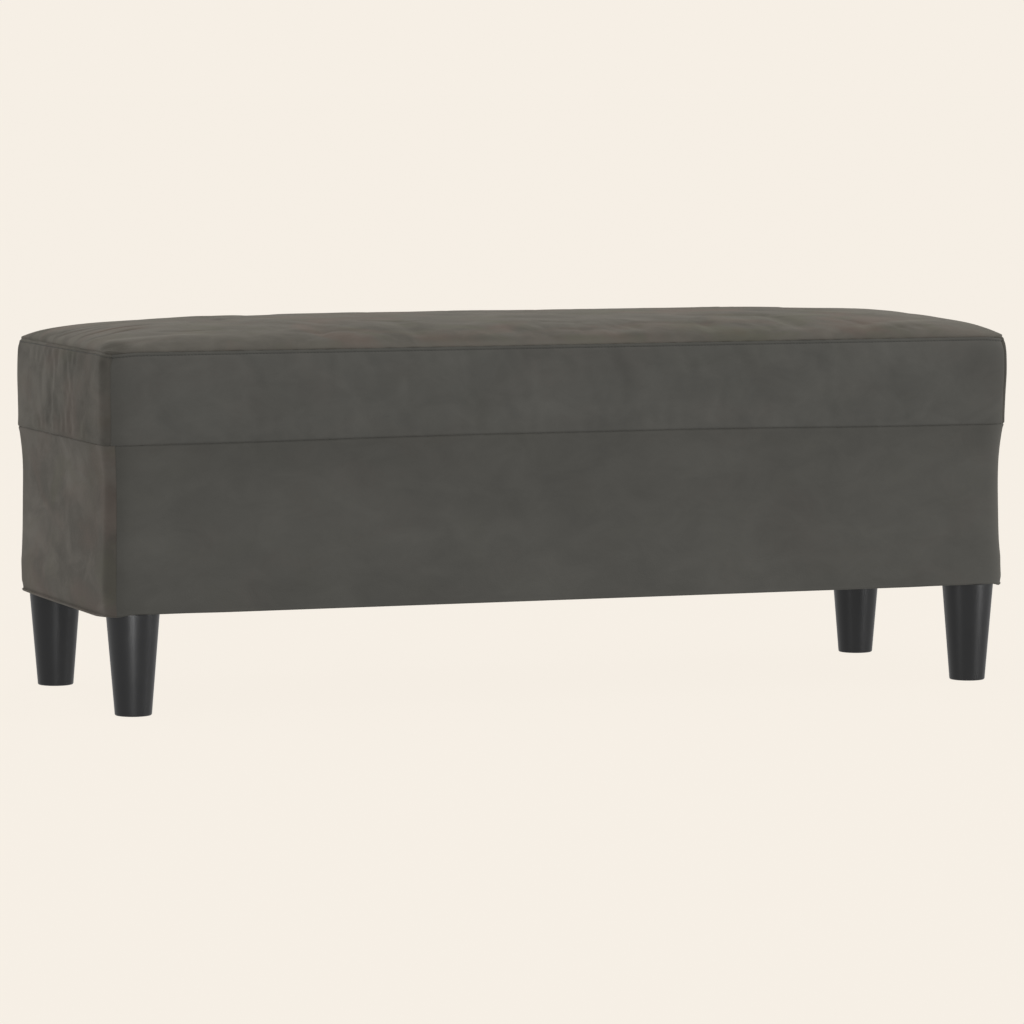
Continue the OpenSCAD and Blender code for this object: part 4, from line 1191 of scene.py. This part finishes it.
def padding_face(depth, step, cover):
    """Rows of a padding layer's face, a depth inside the cover's, up the sides and over the crown."""
    columns = perimeter(step, False)
    insets = crown_insets(step, cover)
    walls = []
    for side, runs in columns.items():
        grid, normal = band_sweep(np.linspace(WAIST_Z, TOP_Z, PADDING_ROWS), side, runs, cover)
        level = normal * (1, 1, 0)
        level /= np.linalg.norm(level, axis=-1, keepdims=True)
        wall = grid + level * (band_move(grid, side, runs) - depth)[..., None]
        wall[0, :, 2] = WAIST_Z
        walls.append(wall)
    crown = crown_grid(columns, insets, cover)
    half = np.array(body_half()) - cover.seam_dip
    lid = crown.copy()
    lid[..., :2] *= (half - depth) / half
    lid[..., 2] = TOP_Z + (crown[..., 2] - TOP_Z) * (CROWN_Z - depth - TOP_Z) / (CROWN_Z - TOP_Z)
    lid[..., 2] += crown_move(crown, insets, columns)
    lid[0, :, 2] = crown[0, :, 2]
    lid[-1, :, 1] = 0
    return np.concatenate([np.concatenate(walls, axis=1)[:-1], lid])


class BENCH_OT_wadding(bpy.types.Operator):
    """Wadding over the top and round the sides of the foam"""

    bl_idname = "bench.wadding"
    bl_label = "Wadding"

    def execute(self, context):
        cover, padding = context.scene.bench_cover, context.scene.bench_padding
        depth = cover.fabric_t + padding.slack
        outer = padding_face(depth, WADDING_STEP, cover)
        inner = padding_face(depth + padding.wadding_t, WADDING_STEP, cover)
        piece = skin("wadding_layer", outer, inner, once("wadding", wadding_stuff), "wadding", "wadding", whole=True)
        return {"FINISHED"}


class BENCH_OT_foam(bpy.types.Operator):
    """Crowned foam block on the deck"""

    bl_idname = "bench.foam"
    bl_label = "Foam"

    def execute(self, context):
        cover, padding = context.scene.bench_cover, context.scene.bench_padding
        depth = cover.fabric_t + padding.wadding_t + 2 * padding.slack
        face = padding_face(depth, FOAM_STEP, cover)
        base = face[:1]
        half_l, half_d = body_half()
        fold = base * (0, 0, 1)
        fold[..., 0] = np.clip(base[..., 0], half_d - half_l, half_l - half_d)
        under = [base * (1 - k) + fold * k for k in np.linspace(1, 0, FOAM_RINGS)[:-1]]
        grid = np.concatenate([*under, face])
        faces = quads(len(grid), grid.shape[1], 0, True)
        piece = make_piece("foam_block", grid.reshape(-1, 3), faces, once("foam", foam_stuff),
                           "foam_pad", merge=True, sharp=1.0)
        return {"FINISHED"}


# Underside cloth: its mesh, the strip that lies on the rails, the slack beyond it, and the cut of its corners
UNDERSIDE_MESH = (281, 97)
RAIL_COVER, SAG_OVER, SAG, UNDERSIDE_CORNER = 0.055, 0.06, 0.00045, 0.012


class BENCH_OT_underside_cloth(bpy.types.Operator):
    """Black cloth over the open underside, pulled tight between its staples"""

    bl_idname = "bench.underside_cloth"
    bl_label = "Underside Cloth"

    def execute(self, context):
        half_l, half_d = DUST_HIGH.x, DUST_HIGH.y
        columns, rows = UNDERSIDE_MESH
        px, py = np.meshgrid(np.linspace(-half_l, half_l, columns), np.linspace(-half_d, half_d, rows))
        # between the rails the cloth hangs a little
        edge = np.minimum(half_l - np.abs(px), half_d - np.abs(py))
        room = smooth((edge - RAIL_COVER) / SAG_OVER)
        sag = room * (SAG + unevenness(np.stack([px, py, 0 * px], -1), UNDERSIDE_WAVES))
        # its corners are cut round, as the solid's are
        cx = np.clip(np.abs(px), 0, half_l - UNDERSIDE_CORNER)
        cy = np.clip(np.abs(py), 0, half_d - UNDERSIDE_CORNER)
        dx, dy = np.abs(px) - cx, np.abs(py) - cy
        far = np.hypot(dx, dy)
        pull = np.where(far > 0, np.maximum(dx, dy) / np.maximum(far, 1e-9), 1)
        lower = np.stack([np.sign(px) * (cx + dx * pull), np.sign(py) * (cy + dy * pull), DUST_LOW.z - sag], -1)
        upper = lower + np.array([0, 0, DUST_HIGH.z - DUST_LOW.z])
        piece = skin("underside_cloth", lower[:, ::-1], upper[:, ::-1], once("cloth", underside_stuff),
                     "black_cloth", "dust_cover")
        return {"FINISHED"}


def is_leg(name):
    """Whether a CAD node is one of the four legs."""
    return name.startswith("leg_") and name != "leg_bolts"


class BENCH_OT_frame_finishes(bpy.types.Operator):
    """Legs, timber, deck and fasteners of the frame, each in its own finish"""

    bl_idname = "bench.frame_finishes"
    bl_label = "Frame Finishes"

    def execute(self, context):
        look = context.scene.bench_finish
        for name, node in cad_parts.items():
            if is_leg(name):
                material = once("plastic", black_plastic)
            elif name.startswith("post_") and name != "post_screws":
                material = once("pine_z", wood, "pine_upright", look.pine, "z")
            elif name in ("bottom_rail_front", "bottom_rail_rear", "top_rail_front", "top_rail_rear"):
                material = once("pine_x", wood, "pine_long", look.pine, "x")
            elif name == "seat_deck":
                material = once("plywood", wood, "plywood", look.plywood, "x", True)
            elif name.startswith(("bottom_rail", "top_rail", "bottom_cross", "seat_slat", "rail_dowels")):
                material = once("pine_y", wood, "pine_cross", look.pine, "y")
            elif name.endswith(("screws", "staples", "nuts", "bolts")):
                material = once("zinc", zinc_steel)
            else:
                continue
            node.data.materials.clear()
            node.data.materials.append(material)
        return {"FINISHED"}


# Light on the floor, for which its glow is less bright than the backdrop
FLOOR_LIT = 0.7

# Soft boxes of the studio: place, point that they face, width and height, power in watts.
# The two leg strips stand low and close, and light the legs alone.
LAMPS = {
    "overhead": ((0.0, 0.0, 3.0), (0, 0, 0.3), (2.4, 2.4), 20.6),
    "right_box": ((2.92, -1.93, 1.2), (0, 0, 0.25), (2.0, 2.0), 24.6),
    "rear_left_box": ((-2.0, 2.85, 1.6), (0, 0, 0.25), (1.4, 1.6), 13.1),
    "front_strip": ((-1.29, -3.47, 0.9), (0, 0, 0.2), (0.25, 1.6), 4.0),
    "left_leg_strip": ((-0.60, -0.62, 0.16), (-0.2, -0.05, 0.08), (0.16, 0.3), 2.0),
    "right_leg_strip": ((0.93, -0.80, 0.16), (0.3, 0.0, 0.08), (0.24, 0.3), 3.0),
}


def area_light(name, place, aim, size, power):
    """A soft box that faces a point."""
    data = bpy.data.lights.new(name, "AREA")
    data.shape = "RECTANGLE"
    data.size, data.size_y = size
    data.energy = power
    lamp = bpy.data.objects.new(name, data)
    lamp.visible_camera = False
    lamp.location = place
    lamp.rotation_euler = (Vector(aim) - Vector(place)).to_track_quat("-Z", "Y").to_euler()
    bpy.context.scene.collection.objects.link(lamp)
    return lamp


class BENCH_OT_stage(bpy.types.Operator):
    """Pale floor, soft studio light and the camera"""

    bl_idname = "bench.stage"
    bl_label = "Stage"

    def execute(self, context):
        stage = context.scene.bench_stage
        scene = context.scene
        scene.view_settings.view_transform = "Standard"
        deselect()
        bpy.ops.mesh.primitive_circle_add(vertices=96, radius=500, fill_type="NGON", location=(0, 0, 0))
        floor = context.active_object
        floor.name = "floor"
        # the surroundings light the bench from below too, as a lit pale floor would
        floor.visible_diffuse = floor.visible_glossy = False
        f = Finish("pale_floor", Roughness=1.0)
        f.surface.inputs["Specular IOR Level"].default_value = 0.0
        lit = stage.floor_bounce * FLOOR_LIT
        f.surface.inputs["Emission Color"].default_value = (*(v - lit for v in stage.backdrop), 1)
        f.surface.inputs["Emission Strength"].default_value = 1.0
        bounce = [stage.floor_bounce] * 3
        f.finish(f.blend(f.spread(f.noise(300.0, 2.0), 0.2, 0.8), toned(bounce, 0.98), bounce))
        out = f.tree.nodes["Material Output"]
        clear = f.add("ShaderNodeBsdfTransparent")
        behind = f.add("ShaderNodeNewGeometry").outputs["Backfacing"]
        pick = f.add("ShaderNodeMixShader", {0: behind, 1: f.surface.outputs[0], 2: clear.outputs[0]})
        f.tree.links.new(pick.outputs[0], out.inputs["Surface"])
        floor.data.materials.append(f.material)
        deselect()

        world = bpy.data.worlds.new("studio")
        scene.world = world
        world.use_nodes = True
        tree = world.node_tree
        glow, shown = tree.nodes["Background"], tree.nodes.new("ShaderNodeBackground")
        glow.inputs["Color"].default_value = (1, 1, 1, 1)
        glow.inputs["Strength"].default_value = stage.surroundings
        shown.inputs["Color"].default_value = (*stage.backdrop, 1)
        pick = tree.nodes.new("ShaderNodeMixShader")
        tree.links.new(tree.nodes.new("ShaderNodeLightPath").outputs["Is Camera Ray"], pick.inputs[0])
        tree.links.new(glow.outputs[0], pick.inputs[1])
        tree.links.new(shown.outputs[0], pick.inputs[2])
        tree.links.new(pick.outputs[0], tree.nodes["World Output"].inputs["Surface"])

        legs = bpy.data.collections.new("legs")
        for name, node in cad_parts.items():
            if is_leg(name):
                legs.objects.link(node)
        for name, facts in LAMPS.items():
            lamp = area_light(name, *facts)
            if name.endswith("leg_strip"):
                lamp.light_linking.receiver_collection = legs

        data = bpy.data.cameras.new("photo_view")
        data.sensor_width = 36
        data.lens = stage.focal
        data.clip_end = 200
        camera = bpy.data.objects.new("photo_view", data)
        camera.location = stage.eye
        camera.rotation_euler = (math.pi / 2 - stage.pitch, 0, -stage.yaw)
        scene.collection.objects.link(camera)
        scene.camera = camera
        return {"FINISHED"}


class BENCH_PT_sidebar(bpy.types.Panel):
    """Steps of the upholstery, in order"""

    bl_idname = "BENCH_PT_sidebar"
    bl_label = "Bed Bench"
    bl_space_type = "VIEW_3D"
    bl_region_type = "UI"
    bl_category = "Bench"

    def draw(self, context):
        for step in STEPS:
            self.layout.operator(step.bl_idname)
        for name in SETTINGS:
            group = getattr(context.scene, name)
            box = self.layout.box()
            for key in group.__annotations__:
                box.prop(group, key)


STEPS = (
    BENCH_OT_stage,
    BENCH_OT_foam,
    BENCH_OT_wadding,
    BENCH_OT_top_panel,
    BENCH_OT_bands,
    BENCH_OT_topstitch,
    BENCH_OT_skirts,
    BENCH_OT_underside_cloth,
    BENCH_OT_frame_finishes,
)
SETTINGS = {
    "bench_cover": CoverSettings,
    "bench_padding": PaddingSettings,
    "bench_finish": FinishSettings,
    "bench_stage": StageSettings,
}


def register():
    """Registers the settings, the steps and the panel."""
    for name, group in SETTINGS.items():
        bpy.utils.register_class(group)
        setattr(bpy.types.Scene, name, bpy.props.PointerProperty(type=group))
    for step in (*STEPS, BENCH_PT_sidebar):
        bpy.utils.register_class(step)


def unregister():
    """Takes the panel, the steps and the settings away again."""
    for step in (BENCH_PT_sidebar, *reversed(STEPS)):
        bpy.utils.unregister_class(step)
    for name, group in SETTINGS.items():
        delattr(bpy.types.Scene, name)
        bpy.utils.unregister_class(group)


def main():
    """Runs every step in order."""
    register()
    for step in STEPS:
        family, name = step.bl_idname.split(".")
        getattr(getattr(bpy.ops, family), name)()


if __name__ == "__main__":
    main()
